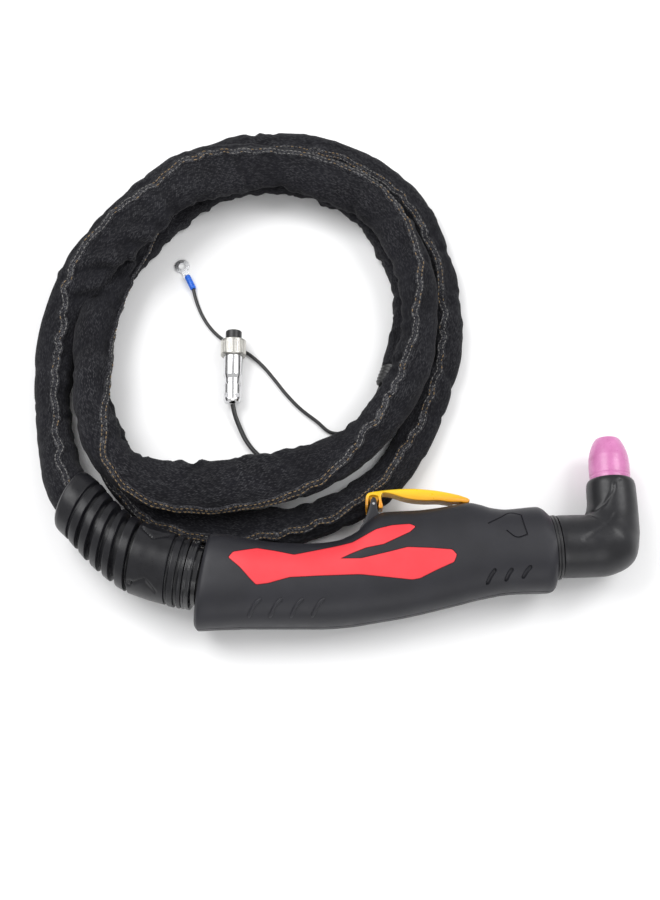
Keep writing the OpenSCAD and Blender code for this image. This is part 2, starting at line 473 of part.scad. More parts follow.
module plug_insert() {
  color("#121214") bench() plug() difference() {
    rotate_extrude() polygon([[0, 26], [5.4, 26], [5.4, 39.7], [insert_r, 39.7], [insert_r, 55], [insert_r - 0.4, 55.5], [4.7, 55.5], [4.7, 50], [0, 50]]);
    for (s = [-1, 1]) translate([s * 2.2, 0, 24]) cylinder(r = 0.8, h = 30, $fn = 24);
    translate([-0.8, 4, 53]) cube([1.6, 4, 4]);
  }
}
module plug_contacts() {
  color("#d8b860") bench() plug() for (s = [-1, 1]) translate([s * 2.2, 0, 25]) cylinder(r = 0.8, h = 29, $fn = 24);
}

// Pilot wire from the cover's end to its ring terminal
pilot_route = [[37.2, 48.4, 4.6], [31.5, 35, 1.6], [24, 24, 1.4], [12, 13, 1.4], [1, 13, 1.4], [-10, 22, 1.4], [-21, 31, 1.4], [-33, 44, 1.4],
  [-42, 56, 1.4], [-51, 67, 1.4], [-61, 76, 1.4], [-72, 82.5, 1.4], [-82, 89, 1.4], [-90, 97, 1.4], [-96, 106, 1.4], [-100.5, 116, 1.4],
  [-103.4, 125, 1.8], [-104.8, 130.5, 2.5]];
module pilot_lead() { color("#18181a") bench() tube(pilot_route, pilot_d / 2, pilot_d / 2, 8); }
module at_eye() { translate([-114.3, 150.8, 0.2]) rotate([0, 0, -64.5]) children(); }
module ring_terminal() {
  color("#c8ccd0") bench() at_eye() difference() {
    union() {
      difference() {
        union() { cylinder(r = 5.6, h = 0.9); translate([0, -2.6, 0]) cube([10.4, 5.2, 0.9]); }
        translate([0, 0, -1]) cylinder(r = eye_r, h = 3);
      }
      translate([9.6, 0, 2.3]) rotate([0, 90, 0]) difference() { cylinder(r = 1.9, h = 8); cylinder(r = 1.35, h = 9); }
    }
  }
}
module terminal_sleeve() {
  color("#2f7fe0") bench() at_eye() translate([10.6, 0, 2.3]) rotate([0, 90, 0]) difference() {
    union() { cylinder(r1 = 2.1, r2 = 2.3, h = 0.5); translate([0, 0, 0.5]) cylinder(r = 2.3, h = 11); translate([0, 0, 11.5]) cylinder(r1 = 2.3, r2 = 1.9, h = 0.7); }
    translate([0, 0, -1]) cylinder(r = 1.9, h = 8);
    translate([0, 0, 3]) cylinder(r = 1.35, h = 12);
  }
}

handle_shell_upper();
handle_shell_lower();
grip_inlay_upper();
grip_inlay_lower();
shell_screws();
trigger();
trigger_pin();
trigger_spring();
switch_body();
switch_plunger();
switch_wires();
neck_collar();
torch_head();
head_core();
head_o_ring();
torch_tube();
swirl_ring();
electrode();
electrode_emitter();
nozzle_tip();
shield_cup();
union_nut();
hose_barb();
hose_ferrule();
power_hose();
strain_boot();
boot_collar();
cable_sleeve();
sleeve_end_band();
hose_tail();
tail_stem();
tail_ferrule();
gas_nut();
trigger_lead();
plug_insert();
plug_contacts();
plug_coupling_ring();
plug_shell();
plug_clamp_nut();
plug_screws();
pilot_lead();
ring_terminal();
terminal_sleeve();
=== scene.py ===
import math

import bpy
import numpy as np
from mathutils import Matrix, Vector, geometry


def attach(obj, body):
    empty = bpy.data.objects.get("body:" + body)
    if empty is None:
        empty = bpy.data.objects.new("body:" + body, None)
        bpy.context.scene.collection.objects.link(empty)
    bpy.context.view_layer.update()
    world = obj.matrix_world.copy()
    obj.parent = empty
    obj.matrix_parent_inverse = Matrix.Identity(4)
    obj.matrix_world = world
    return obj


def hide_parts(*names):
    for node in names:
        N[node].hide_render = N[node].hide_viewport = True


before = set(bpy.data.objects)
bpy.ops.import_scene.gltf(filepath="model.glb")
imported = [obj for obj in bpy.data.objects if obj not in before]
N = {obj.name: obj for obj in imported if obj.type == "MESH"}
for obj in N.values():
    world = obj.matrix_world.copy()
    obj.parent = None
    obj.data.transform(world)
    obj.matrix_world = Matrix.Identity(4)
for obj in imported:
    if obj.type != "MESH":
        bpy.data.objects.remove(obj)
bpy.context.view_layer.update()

MID = 25.3
TORCH = np.array([-12.2, 70.0, MID])
BENCH = np.array([-12.2, 70.0, 0.0])

# ---------------------------------------------------------------- camera
cam = bpy.data.objects.new("camera", bpy.data.cameras.new("camera"))
bpy.context.scene.collection.objects.link(cam)
cam.location = (-0.0122, -0.2378, 0.8457)
cam.rotation_euler = (math.radians(20), 0, 0)
cam.data.lens = 49.2
cam.data.sensor_width = 36
cam.data.clip_start = 0.01
bpy.context.scene.camera = cam
bpy.context.scene.view_settings.view_transform = "Standard"


def to_px(v):
    """Millimetre points in the torch's or the bench's own frame to places in the 660 by 900 picture."""
    e = math.radians(70.0)
    c = np.array([0, -900 * math.cos(e), 900 * math.sin(e)])
    q = v - c
    dz = q @ np.array([0, math.cos(e), -math.sin(e)])
    return np.stack([330 + 1230 * q[:, 0] / dz, 450 - 1230 * (q @ np.array([0, math.sin(e), math.cos(e)])) / dz], 1)


# ---------------------------------------------------------------- number helpers
def slopes(x, y, mono):
    h = np.diff(x)
    d = np.diff(y, axis=0) / h.reshape((-1,) + (1,) * (y.ndim - 1))
    m = np.empty_like(y)
    m[0], m[-1] = d[0], d[-1]
    hh = h.reshape((-1,) + (1,) * (y.ndim - 1))
    m[1:-1] = (d[:-1] * hh[1:] + d[1:] * hh[:-1]) / (hh[1:] + hh[:-1])
    if mono:
        w1, w2 = 2 * hh[1:] + hh[:-1], hh[1:] + 2 * hh[:-1]
        same = d[:-1] * d[1:] > 0
        safe = np.where(same, w1 / np.where(d[:-1] == 0, 1, d[:-1]) + w2 / np.where(d[1:] == 0, 1, d[1:]), 1)
        m[1:-1] = np.where(same, (w1 + w2) / safe, 0)
    return m


def spline(x, y, q, mono=False):
    x, y, q = np.asarray(x, float), np.asarray(y, float), np.asarray(q, float)
    m = slopes(x, y, mono)
    k = np.clip(np.searchsorted(x, q) - 1, 0, len(x) - 2)
    h = x[k + 1] - x[k]
    t = (q - x[k]) / h
    if y.ndim > 1:
        t, h = t[:, None], h[:, None]
    return ((2 * t**3 - 3 * t**2 + 1) * y[k] + (t**3 - 2 * t**2 + t) * h * m[k]
            + (-2 * t**3 + 3 * t**2) * y[k + 1] + (t**3 - t**2) * h * m[k + 1])


def cumlen(p):
    return np.concatenate([[0], np.cumsum(np.linalg.norm(np.diff(p, axis=0), axis=1))])


def route(points, step):
    """Smooth curve through points, at even steps. Returns points with their further columns, and the place along the given points."""
    p = np.asarray(points, float)
    x = cumlen(p[:, :3])
    q = np.linspace(0, x[-1], int(x[-1] / 0.5) + 2)
    d = spline(x, p, q)
    idx = np.interp(q, x, np.arange(len(x)))
    s = cumlen(d[:, :3])
    n = max(3, int(round(s[-1] / step)) + 1)
    t = np.linspace(0, s[-1], n)
    out = np.stack([np.interp(t, s, d[:, k]) for k in range(d.shape[1])], 1)
    return out, t, np.interp(t, s, idx)


def frames(p):
    d = np.gradient(p, axis=0)
    d /= np.linalg.norm(d, axis=1)[:, None]
    w = np.stack([-d[:, 1], d[:, 0], 0 * d[:, 0]], 1)
    w /= np.linalg.norm(w, axis=1)[:, None]
    return d, w, np.cross(d, w)


def sgnpow(v, e):
    return np.sign(v) * np.abs(v) ** e


def smooth_noise(n, cell, seed, period=False):
    """Even random wave along n samples, with about one wave in cell samples."""
    r = np.random.default_rng(seed)
    k = max(2, int(n / cell) + 2)
    v = r.uniform(-1, 1, k)
    x = np.linspace(0, n - 1, k)
    return spline(x, v, np.arange(n))


def noise2(n, m, cn, cm, seed):
    """Smooth random field on an n by m grid that closes around the second axis."""
    r = np.random.default_rng(seed)
    kn, km = max(3, int(n / cn) + 2), max(3, int(round(m / cm)))
    v = r.uniform(-1, 1, (kn, km))
    v = np.concatenate([v[:, -1:], v, v[:, :2]], 1)
    a = spline(np.arange(kn), v, np.linspace(0, kn - 1.001, n))
    b = spline(np.arange(km + 3), a.T, 1 + np.arange(m) * km / m)
    return b.T


# ---------------------------------------------------------------- mesh helpers
def grid_faces(n, m, closed=True, base=0):
    i, k = np.meshgrid(np.arange(n - 1), np.arange(m if closed else m - 1), indexing="ij")
    i, k = i.ravel(), k.ravel()
    k2 = (k + 1) % m
    return (np.stack([i * m + k, i * m + k2, (i + 1) * m + k2, (i + 1) * m + k], 1) + base).tolist()


def obj_from(name, verts, faces):
    me = bpy.data.meshes.new(name)
    me.from_pydata([tuple(v) for v in np.asarray(verts, float).tolist()], [], faces)
    me.update()
    ob = bpy.data.objects.new(name, me)
    bpy.context.scene.collection.objects.link(ob)
    return ob


def loft(name, rings, caps=True):
    r = np.asarray(rings, float)
    n, m = r.shape[:2]
    f = grid_faces(n, m)
    if caps:
        f.append(list(range(m - 1, -1, -1)))
        f.append(list(range((n - 1) * m, n * m)))
    return obj_from(name, r.reshape(-1, 3), f)


def shut(rings):
    """Ring stack that closes on itself, such as a hollow turned piece: the last ring meets the first."""
    r = np.asarray(rings, float)
    n, m = r.shape[:2]
    f = grid_faces(n, m)
    f += [[(n - 1) * m + k, (n - 1) * m + (k + 1) % m, (k + 1) % m, k] for k in range(m)]
    return r.reshape(-1, 3), f


def boolean(a, b, op="DIFFERENCE", keep=False):
    mod = a.modifiers.new("b", "BOOLEAN")
    mod.operation, mod.object, mod.solver = op, b, "MANIFOLD"
    bpy.context.view_layer.update()
    me = bpy.data.meshes.new_from_object(a.evaluated_get(bpy.context.evaluated_depsgraph_get()))
    a.modifiers.clear()
    old, a.data = a.data, me
    bpy.data.meshes.remove(old)
    if len(me.polygons) == 0:
        raise RuntimeError("empty result from " + b.name)
    if not keep:
        bpy.data.objects.remove(b)
    return a


def join(name, obs):
    verts, faces, n = [], [], 0
    for o in obs:
        v = [tuple(x.co) for x in o.data.vertices]
        verts += v
        faces += [[i + n for i in p.vertices] for p in o.data.polygons]
        n += len(v)
        bpy.data.objects.remove(o)
    return obj_from(name, verts, faces)


def finish_piece(ob, shift, mat, body="root", sharp=32, replaces=(), sub=0):
    """Puts a millimetre piece in the row frame, with its shading, finish and body."""
    ob.data.materials.clear()
    for x in (mat if isinstance(mat, (list, tuple)) else [mat]):
        ob.data.materials.append(x)
    n = len(ob.data.vertices)
    co = np.empty(n * 3)
    ob.data.vertices.foreach_get("co", co)
    co = (co.reshape(-1, 3) + shift) / 1000
    ob.data.vertices.foreach_set("co", co.ravel())
    ob.data.polygons.foreach_set("use_smooth", [True] * len(ob.data.polygons))
    if sharp:
        ob.data.set_sharp_from_angle(angle=math.radians(sharp))
    ob.data.update()
    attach(ob, body)
    if replaces:
        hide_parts(*replaces)
    return ob


def prism(name, pts, z0, z1):
    p = np.asarray(pts, float)
    area = np.sum(p[:, 0] * np.roll(p[:, 1], -1) - np.roll(p[:, 0], -1) * p[:, 1])
    if area < 0:
        p = p[::-1]
    rings = [np.column_stack([p, np.full(len(p), z)]) for z in (z0, z1)]
    return loft(name, rings)


def inset(pts, d):
    """Polygon with each edge moved in by d."""
    p = np.asarray(pts, float)
    if np.sum(p[:, 0] * np.roll(p[:, 1], -1) - np.roll(p[:, 0], -1) * p[:, 1]) < 0:
        p = p[::-1]
    e = np.roll(p, -1, 0) - p
    e /= np.linalg.norm(e, axis=1)[:, None]
    n = np.stack([-e[:, 1], e[:, 0]], 1)
    n0 = np.roll(n, 1, 0)
    b = n + n0
    b /= np.linalg.norm(b, axis=1)[:, None]
    c = np.clip((b * n).sum(1), 0.35, 1)
    return p + b * (d / c)[:, None]


def round_poly(pts, r, k=4, step=1.2, counts=None):
    """Rounded corners and even points along the edges. counts keeps the same number of points for a family of polygons."""
    p = np.asarray(pts, float)
    n = len(p)
    out, used = [], []
    for i in range(n):
        a, b, c = p[i - 1], p[i], p[(i + 1) % n]
        la, lc = np.linalg.norm(a - b), np.linalg.norm(c - b)
        t = min(r, la * 0.42, lc * 0.42)
        s, e = b + (a - b) / la * t, b + (c - b) / lc * t
        for j in range(k + 1):
            q = j / k
            out.append((1 - q) ** 2 * s + 2 * q * (1 - q) * b + q * q * e)
        la2 = np.linalg.norm(c - b)
        t2 = min(r, la2 * 0.42, np.linalg.norm(p[(i + 2) % n] - c) * 0.42)
        nxt = c + (b - c) / la2 * t2
        m = max(0, int(np.linalg.norm(nxt - e) / step)) if counts is None else counts[i]
        used.append(m)
        for j in range(1, m + 1):
            out.append(e + (nxt - e) * j / (m + 1))
    return np.array(out), used


def turned(name, prof, seg=64, closed=False):
    """Turned piece from (radius, height) points, about +Z. closed joins the last point to the first."""
    a = np.arange(seg) * 2 * math.pi / seg
    rings = [np.stack([r * np.cos(a), r * np.sin(a), np.full(seg, z)], 1) for r, z in prof]
    if closed:
        v, f = shut(rings)
        return obj_from(name, v, f)
    return loft(name, rings)


def soften(prof, step=0.3, sig=0.3, closed=False):
    """Rounds the corners of a profile by sliding average."""
    p = np.asarray(prof, float)
    if closed:
        p = np.vstack([p, p[:1]])
    s = cumlen(p)
    n = max(8, int(s[-1] / step))
    q = np.linspace(0, s[-1], n + 1)
    d = np.stack([np.interp(q, s, p[:, k]) for k in range(p.shape[1])], 1)
    w = max(1, int(3 * sig / step))
    k = np.exp(-0.5 * (np.arange(-w, w + 1) * step / sig) ** 2)
    k /= k.sum()
    if closed:
        d = d[:-1]
        pad = np.vstack([d[-w:], d, d[:w]])
    else:
        pad = np.vstack([2 * d[0] - d[w:0:-1], d, 2 * d[-1] - d[-2:-w - 2:-1]])
    return np.stack([np.convolve(pad[:, c], k, "valid") for c in range(d.shape[1])], 1)


def place(ob, origin, axis, turn=0.0, xdir=None):
    """Moves a piece turned about +Z so that it stands at origin along axis."""
    z = Vector(axis).normalized()
    x = Vector(xdir) if xdir is not None else (Vector((0, 0, 1)) if abs(z.z) < 0.9 else Vector((1, 0, 0)))
    x = (x - z * x.dot(z)).normalized()
    y = z.cross(x)
    ca, sa = math.cos(turn), math.sin(turn)
    x2, y2 = x * ca + y * sa, y * ca - x * sa
    r = np.array([[x2[i], y2[i], z[i]] for i in range(3)])
    n = len(ob.data.vertices)
    co = np.empty(n * 3)
    ob.data.vertices.foreach_get("co", co)
    ob.data.vertices.foreach_set("co", (co.reshape(-1, 3) @ r.T + np.asarray(origin, float)).ravel())
    ob.data.update()
    return ob


def near_line(q, line):
    """Distance of each 2-D point in q to a bent line."""
    q, line = np.asarray(q, float), np.asarray(line, float)
    best = np.full(len(q), 1e9)
    for a, b in zip(line[:-1], line[1:]):
        ab = b - a
        t = np.clip(((q - a) @ ab) / (ab @ ab), 0, 1)
        best = np.minimum(best, np.linalg.norm(q - (a + t[:, None] * ab), axis=1))
    return best


# ---------------------------------------------------------------- materials
def mat_new(name, rough=0.5, metal=0.0, **sockets):
    m = bpy.data.materials.new(name)
    m.use_nodes = True
    b = m.node_tree.nodes["Principled BSDF"]
    b.inputs["Metallic"].default_value = metal
    b.inputs["Roughness"].default_value = rough
    for k, v in sockets.items():
        b.inputs[k.replace("_", " ")].default_value = v
    return m, m.node_tree, b


def node(t, kind, ins=(), **props):
    n = t.nodes.new(kind)
    for k, v in props.items():
        setattr(n, k, v)
    for k, v in dict(ins).items():
        s = n.inputs[k]
        if isinstance(v, bpy.types.NodeSocket):
            t.links.new(v, s)
        else:
            s.default_value = v
    return n


def mathn(t, op, a, b=None, c=None):
    n = t.nodes.new("ShaderNodeMath")
    n.operation = op
    for i, v in enumerate((a, b, c)):
        if v is None:
            continue
        if isinstance(v, bpy.types.NodeSocket):
            t.links.new(v, n.inputs[i])
        else:
            n.inputs[i].default_value = v
    return n.outputs[0]


def coords(t):
    return t.nodes.new("ShaderNodeTexCoord").outputs["Object"]


def noise(t, vec, scale, detail=3, rough=0.55, dist=0.0):
    return node(t, "ShaderNodeTexNoise", {"Vector": vec, "Scale": scale, "Detail": detail, "Roughness": rough, "Distortion": dist}).outputs["Fac"]


def ramp(t, fac, stops):
    n = t.nodes.new("ShaderNodeValToRGB")
    t.links.new(fac, n.inputs[0])
    e = n.color_ramp.elements
    while len(e) < len(stops):
        e.new(0.5)
    for el, (p, c) in zip(e, stops):
        el.position = p
        el.color = (*c, 1) if len(c) == 3 else c
    return n.outputs["Color"]


def mixc(t, fac, a, b, mode="MIX"):
    n = t.nodes.new("ShaderNodeMix")
    n.data_type, n.blend_type = "RGBA", mode
    for s, v in ((n.inputs[0], fac), (n.inputs[6], a), (n.inputs[7], b)):
        if isinstance(v, bpy.types.NodeSocket):
            t.links.new(v, s)
        else:
            s.default_value = (*v, 1) if isinstance(v, tuple) and len(v) == 3 else v
    return n.outputs[2]


def remap(t, v, a, b, c, d):
    return node(t, "ShaderNodeMapRange", {"Value": v, "From Min": a, "From Max": b, "To Min": c, "To Max": d}).outputs[0]


def bump(t, bsdf, height, strength, dist):
    n = node(t, "ShaderNodeBump", {"Height": height, "Strength": strength, "Distance": dist})
    t.links.new(n.outputs[0], bsdf.inputs["Normal"])
    return n


def varied(name, dark, light, rough=(0.4, 0.55), metal=0.0, patch=60, grain=2200, bump_mm=0.02, bump_strength=0.35, **sockets):
    """Moulded, cast or turned surface: patchy colour, uneven gloss, fine grain."""
    m, t, b = mat_new(name, metal=metal, **sockets)
    c = coords(t)
    big = noise(t, c, patch, 4)
    fine = noise(t, c, grain, 2, 0.6)
    both = mathn(t, "MULTIPLY_ADD", fine, 0.35, mathn(t, "MULTIPLY", big, 0.65))
    t.links.new(ramp(t, both, [(0.3, dark), (0.7, light)]), b.inputs["Base Color"])
    t.links.new(remap(t, mathn(t, "MULTIPLY_ADD", fine, 0.5, mathn(t, "MULTIPLY", noise(t, c, patch * 3, 4), 0.5)), 0.3, 0.7, *rough), b.inputs["Roughness"])
    bump(t, b, fine, bump_strength, bump_mm / 1000)
    return m


def brushed(name, dark, light, rough=(0.2, 0.4), axis=(1, 1, 1), **sockets):
    """Metal with fine turning or brushing lines."""
    m, t, b = mat_new(name, metal=1.0, **sockets)
    c = coords(t)
    s = node(t, "ShaderNodeVectorMath", {0: c, 1: axis}, operation="MULTIPLY").outputs[0]
    lines = noise(t, s, 900, 3, 0.7)
    spots = noise(t, c, 160, 4)
    t.links.new(ramp(t, mathn(t, "MULTIPLY_ADD", lines, 0.5, mathn(t, "MULTIPLY", spots, 0.5)), [(0.3, dark), (0.68, light)]), b.inputs["Base Color"])
    t.links.new(remap(t, mathn(t, "MULTIPLY_ADD", spots, 0.6, mathn(t, "MULTIPLY", lines, 0.4)), 0.3, 0.7, *rough), b.inputs["Roughness"])
    bump(t, b, lines, 0.15, 0.00002)
    return m


M = {}
M["shell"] = varied("shell_plastic", (0.0095, 0.0095, 0.0125), (0.017, 0.017, 0.022), (0.38, 0.54), patch=34, grain=2600, bump_mm=0.05, bump_strength=0.4)
M["inlay"] = varied("inlay_red", (0.62, 0.022, 0.033), (0.74, 0.036, 0.050), (0.40, 0.56), patch=45, grain=3000, bump_mm=0.03, bump_strength=0.3)
M["head"] = varied("head_moulding", (0.006, 0.006, 0.0075), (0.013, 0.013, 0.0155), (0.26, 0.46), patch=70, grain=1800, bump_mm=0.05, bump_strength=0.35)
M["boot"] = varied("boot_rubber", (0.0045, 0.0045, 0.006), (0.012, 0.012, 0.0145), (0.24, 0.44), patch=90, grain=1500, bump_mm=0.05, bump_strength=0.35)
M["collar"] = varied("collar_plastic", (0.012, 0.012, 0.013), (0.022, 0.022, 0.024), (0.3, 0.42), patch=120, grain=2400)
M["gloss_ring"] = varied("gloss_ring_plastic", (0.008, 0.008, 0.0095), (0.014, 0.014, 0.0165), (0.10, 0.2), patch=120, grain=2400, bump_mm=0.01)
M["wire"] = varied("wire_vinyl", (0.006, 0.006, 0.007), (0.014, 0.014, 0.015), (0.25, 0.38), patch=200, grain=2500)
M["hose"] = varied("hose_rubber_grey", (0.022, 0.023, 0.026), (0.05, 0.052, 0.058), (0.4, 0.55), patch=140, grain=1600, bump_mm=0.04)
M["band"] = varied("band_shrink", (0.006, 0.006, 0.007), (0.014, 0.014, 0.015), (0.25, 0.5), patch=220, grain=1200, bump_mm=0.08, bump_strength=0.5)
M["dark"] = varied("insert_plastic", (0.007, 0.007, 0.008), (0.014, 0.014, 0.015), (0.3, 0.5), patch=200, grain=2600)
M["white_plastic"] = varied("plunger_plastic", (0.62, 0.61, 0.58), (0.76, 0.75, 0.72), (0.3, 0.42), patch=200, grain=2600)
M["seal"] = varied("seal_ring_rubber", (0.009, 0.009, 0.01), (0.016, 0.016, 0.018), (0.35, 0.5), patch=200, grain=1800)
M["swirl"] = varied("swirl_body", (0.52, 0.42, 0.28), (0.66, 0.56, 0.4), (0.5, 0.7), patch=260, grain=2200)
M["brass"] = brushed("brass_turned", (0.62, 0.43, 0.16), (0.80, 0.60, 0.28), (0.22, 0.4))
M["copper"] = brushed("copper_turned", (0.66, 0.30, 0.18), (0.84, 0.46, 0.30), (0.2, 0.38))
M["steel"] = brushed("steel_plated", (0.42, 0.42, 0.43), (0.62, 0.62, 0.64), (0.2, 0.38))
M["chrome"] = brushed("chrome_bright", (0.60, 0.60, 0.61), (0.78, 0.78, 0.79), (0.10, 0.22))
M["nickel"] = brushed("nickel_satin", (0.34, 0.33, 0.31), (0.52, 0.51, 0.48), (0.3, 0.46))
M["ferrule"] = brushed("ferrule_aluminium", (0.52, 0.53, 0.54), (0.70, 0.71, 0.72), (0.28, 0.46))
M["hafnium"] = brushed("hafnium_pin", (0.34, 0.36, 0.39), (0.5, 0.52, 0.55), (0.3, 0.5))
M["tin"] = brushed("tinned_terminal", (0.62, 0.63, 0.65), (0.82, 0.83, 0.85), (0.22, 0.36))
for _k, _v in (("shell", 0.34), ("head", 0.36), ("boot", 0.32), ("collar", 0.36)):
    M[_k].node_tree.nodes["Principled BSDF"].inputs["Specular IOR Level"].default_value = _v
M["gold"] = brushed("gold_contact", (0.72, 0.5, 0.2), (0.86, 0.66, 0.32), (0.18, 0.3))


def make_blue():
    m, t, b = mat_new("blue_vinyl", rough=0.3, Subsurface_Weight=0.15, Subsurface_Scale=0.001)
    b.inputs["Subsurface Radius"].default_value = (0.2, 0.5, 1.0)
    c = coords(t)
    t.links.new(ramp(t, noise(t, c, 420, 4), [(0.3, (0.006, 0.085, 0.50)), (0.7, (0.012, 0.16, 0.74))]), b.inputs["Base Color"])
    t.links.new(remap(t, noise(t, c, 900, 3), 0.3, 0.7, 0.2, 0.36), b.inputs["Roughness"])
    bump(t, b, noise(t, c, 1500, 2), 0.25, 0.00003)
    return m


def make_lever():
    m, t, b = mat_new("lever_yellow", rough=0.3, Subsurface_Weight=0.12, Subsurface_Scale=0.002, Coat_Weight=0.25, Coat_Roughness=0.12)
    b.inputs["Subsurface Radius"].default_value = (1.0, 0.45, 0.1)
    c = coords(t)
    # painted shade: by height alone, the colour goes from bright yellow on the lever's top to dark orange on its
    # underside, the side that faces the handle and gets less light
    y = node(t, "ShaderNodeSeparateXYZ", {0: c}).outputs[1]
    lit_top_fac = remap(t, y, 0.0205, 0.0295, 0.0, 1.0)
    n = noise(t, c, 55, 4)
    painted_shade_tone = mathn(t, "MULTIPLY_ADD", n, 0.25, mathn(t, "MULTIPLY", lit_top_fac, 0.85))
    t.links.new(ramp(t, painted_shade_tone, [(0.1, (0.70, 0.27, 0.003)), (0.5, (0.78, 0.42, 0.004)), (0.9, (0.82, 0.52, 0.008))]), b.inputs["Base Color"])
    fine = noise(t, c, 1900, 2)
    t.links.new(remap(t, noise(t, c, 160, 4), 0.3, 0.7, 0.24, 0.4), b.inputs["Roughness"])
    bump(t, b, fine, 0.2, 0.00002)
    return m


def make_cup():
    m, t, b = mat_new("cup_ceramic", rough=0.3, Coat_Weight=0.25, Coat_Roughness=0.2)
    c = coords(t)
    cloud = noise(t, c, 70, 5, 0.6)
    speck = node(t, "ShaderNodeTexVoronoi", {"Vector": c, "Scale": 1300.0, "Randomness": 1.0}).outputs["Distance"]
    base = ramp(t, cloud, [(0.3, (0.45, 0.125, 0.30)), (0.55, (0.56, 0.18, 0.40)), (0.75, (0.65, 0.25, 0.47))])
    dots = ramp(t, speck, [(0.10, (0.62, 0.62, 0.62)), (0.32, (1.0, 1.0, 1.0))])
    t.links.new(mixc(t, 0.35, base, dots, "MULTIPLY"), b.inputs["Base Color"])
    t.links.new(remap(t, noise(t, c, 240, 4), 0.3, 0.7, 0.24, 0.42), b.inputs["Roughness"])
    bump(t, b, noise(t, c, 1500, 3), 0.25, 0.00004)
    return m


def make_denim():
    m, t, b = mat_new("denim_black", rough=0.9, Sheen_Weight=0.04, Sheen_Roughness=0.5, Specular_IOR_Level=0.16)
    c = coords(t)
    uv = node(t, "ShaderNodeUVMap", uv_map="cloth").outputs[0]
    sep = node(t, "ShaderNodeSeparateXYZ", {0: uv})
    u, v = sep.outputs[0], sep.outputs[1]
    # rows of broken light flecks, each row shifted as in a twill
    rows = mathn(t, "MULTIPLY", v, 1 / 0.00055)
    row = mathn(t, "FLOOR", rows)
    wob = mathn(t, "MULTIPLY", noise(t, c, 60, 2), 0.5)
    cols = mathn(t, "ADD", mathn(t, "MULTIPLY_ADD", row, 0.37, mathn(t, "MULTIPLY", u, 1 / 0.0019)), wob)
    col = mathn(t, "FLOOR", cols)
    cell = node(t, "ShaderNodeCombineXYZ", {0: col, 1: row}).outputs[0]
    rnd = node(t, "ShaderNodeTexWhiteNoise", {"Vector": cell}, noise_dimensions="2D").outputs["Value"]
    fr, fc = mathn(t, "FRACT", rows), mathn(t, "FRACT", cols)
    rib = mathn(t, "SUBTRACT", 1.0, mathn(t, "ABSOLUTE", mathn(t, "MULTIPLY_ADD", fr, 2.0, -1.0)))
    seg = mathn(t, "SUBTRACT", 1.0, mathn(t, "ABSOLUTE", mathn(t, "MULTIPLY_ADD", fc, 2.0, -1.0)))
    yarn = mathn(t, "MULTIPLY", mathn(t, "POWER", rib, 0.7), mathn(t, "POWER", seg, 0.5))
    pick = mathn(t, "MULTIPLY", mathn(t, "POWER", rnd, 2.0), yarn)
    # raised folds and the seam ridge get more light flecks, as wear; the creases get fewer and come out darker, as
    # painted shade
    fold_wear_and_shade = t.nodes.new("ShaderNodeAttribute")
    fold_wear_and_shade.attribute_name = "fold_wear_and_shade"
    lift = mathn(t, "ADD", remap(t, noise(t, c, 45, 3), 0.35, 0.7, 0.62, 0.8), mathn(t, "MULTIPLY", fold_wear_and_shade.outputs["Fac"], 0.30))
    amount = mathn(t, "MULTIPLY", pick, lift)
    base = ramp(t, noise(t, c, 40, 4), [(0.3, (0.0030, 0.0030, 0.0046)), (0.7, (0.0065, 0.0065, 0.0092))])
    t.links.new(mixc(t, mathn(t, "MULTIPLY", amount, 0.20), base, (0.34, 0.34, 0.36)), b.inputs["Base Color"])
    h = mathn(t, "MULTIPLY_ADD", yarn, 0.7, mathn(t, "MULTIPLY", noise(t, c, 1400, 2), 0.6))
    bump(t, b, h, 0.55, 0.00025)
    return m


def make_thread(name, a, b2):
    m, t, b = mat_new(name, rough=0.75, Sheen_Weight=0.2)
    c = coords(t)
    n = noise(t, c, 350, 4)
    t.links.new(ramp(t, n, [(0.35, a), (0.65, b2)]), b.inputs["Base Color"])
    bump(t, b, noise(t, c, 2600, 2), 0.4, 0.00006)
    return m


def make_welt():
    m, t, b = mat_new("denim_welt", rough=0.85, Sheen_Weight=0.05, Specular_IOR_Level=0.18)
    c = coords(t)
    f = mathn(t, "ADD", mathn(t, "MULTIPLY", noise(t, c, 1500, 2), 0.7), mathn(t, "MULTIPLY", noise(t, c, 260, 3), 0.3))
    t.links.new(ramp(t, f, [(0.42, (0.0055, 0.0055, 0.0075)), (0.53, (0.018, 0.018, 0.022)), (0.65, (0.125, 0.125, 0.132))]), b.inputs["Base Color"])
    bump(t, b, f, 0.6, 0.0002)
    return m


M["welt"] = make_welt()
M["blue"], M["lever"], M["cup"], M["denim"] = make_blue(), make_lever(), make_cup(), make_denim()
M["thread_pale"] = make_thread("thread_pale", (0.07, 0.068, 0.065), (0.20, 0.195, 0.185))
M["thread_tan"] = make_thread("thread_tan", (0.13, 0.085, 0.035), (0.28, 0.18, 0.075))

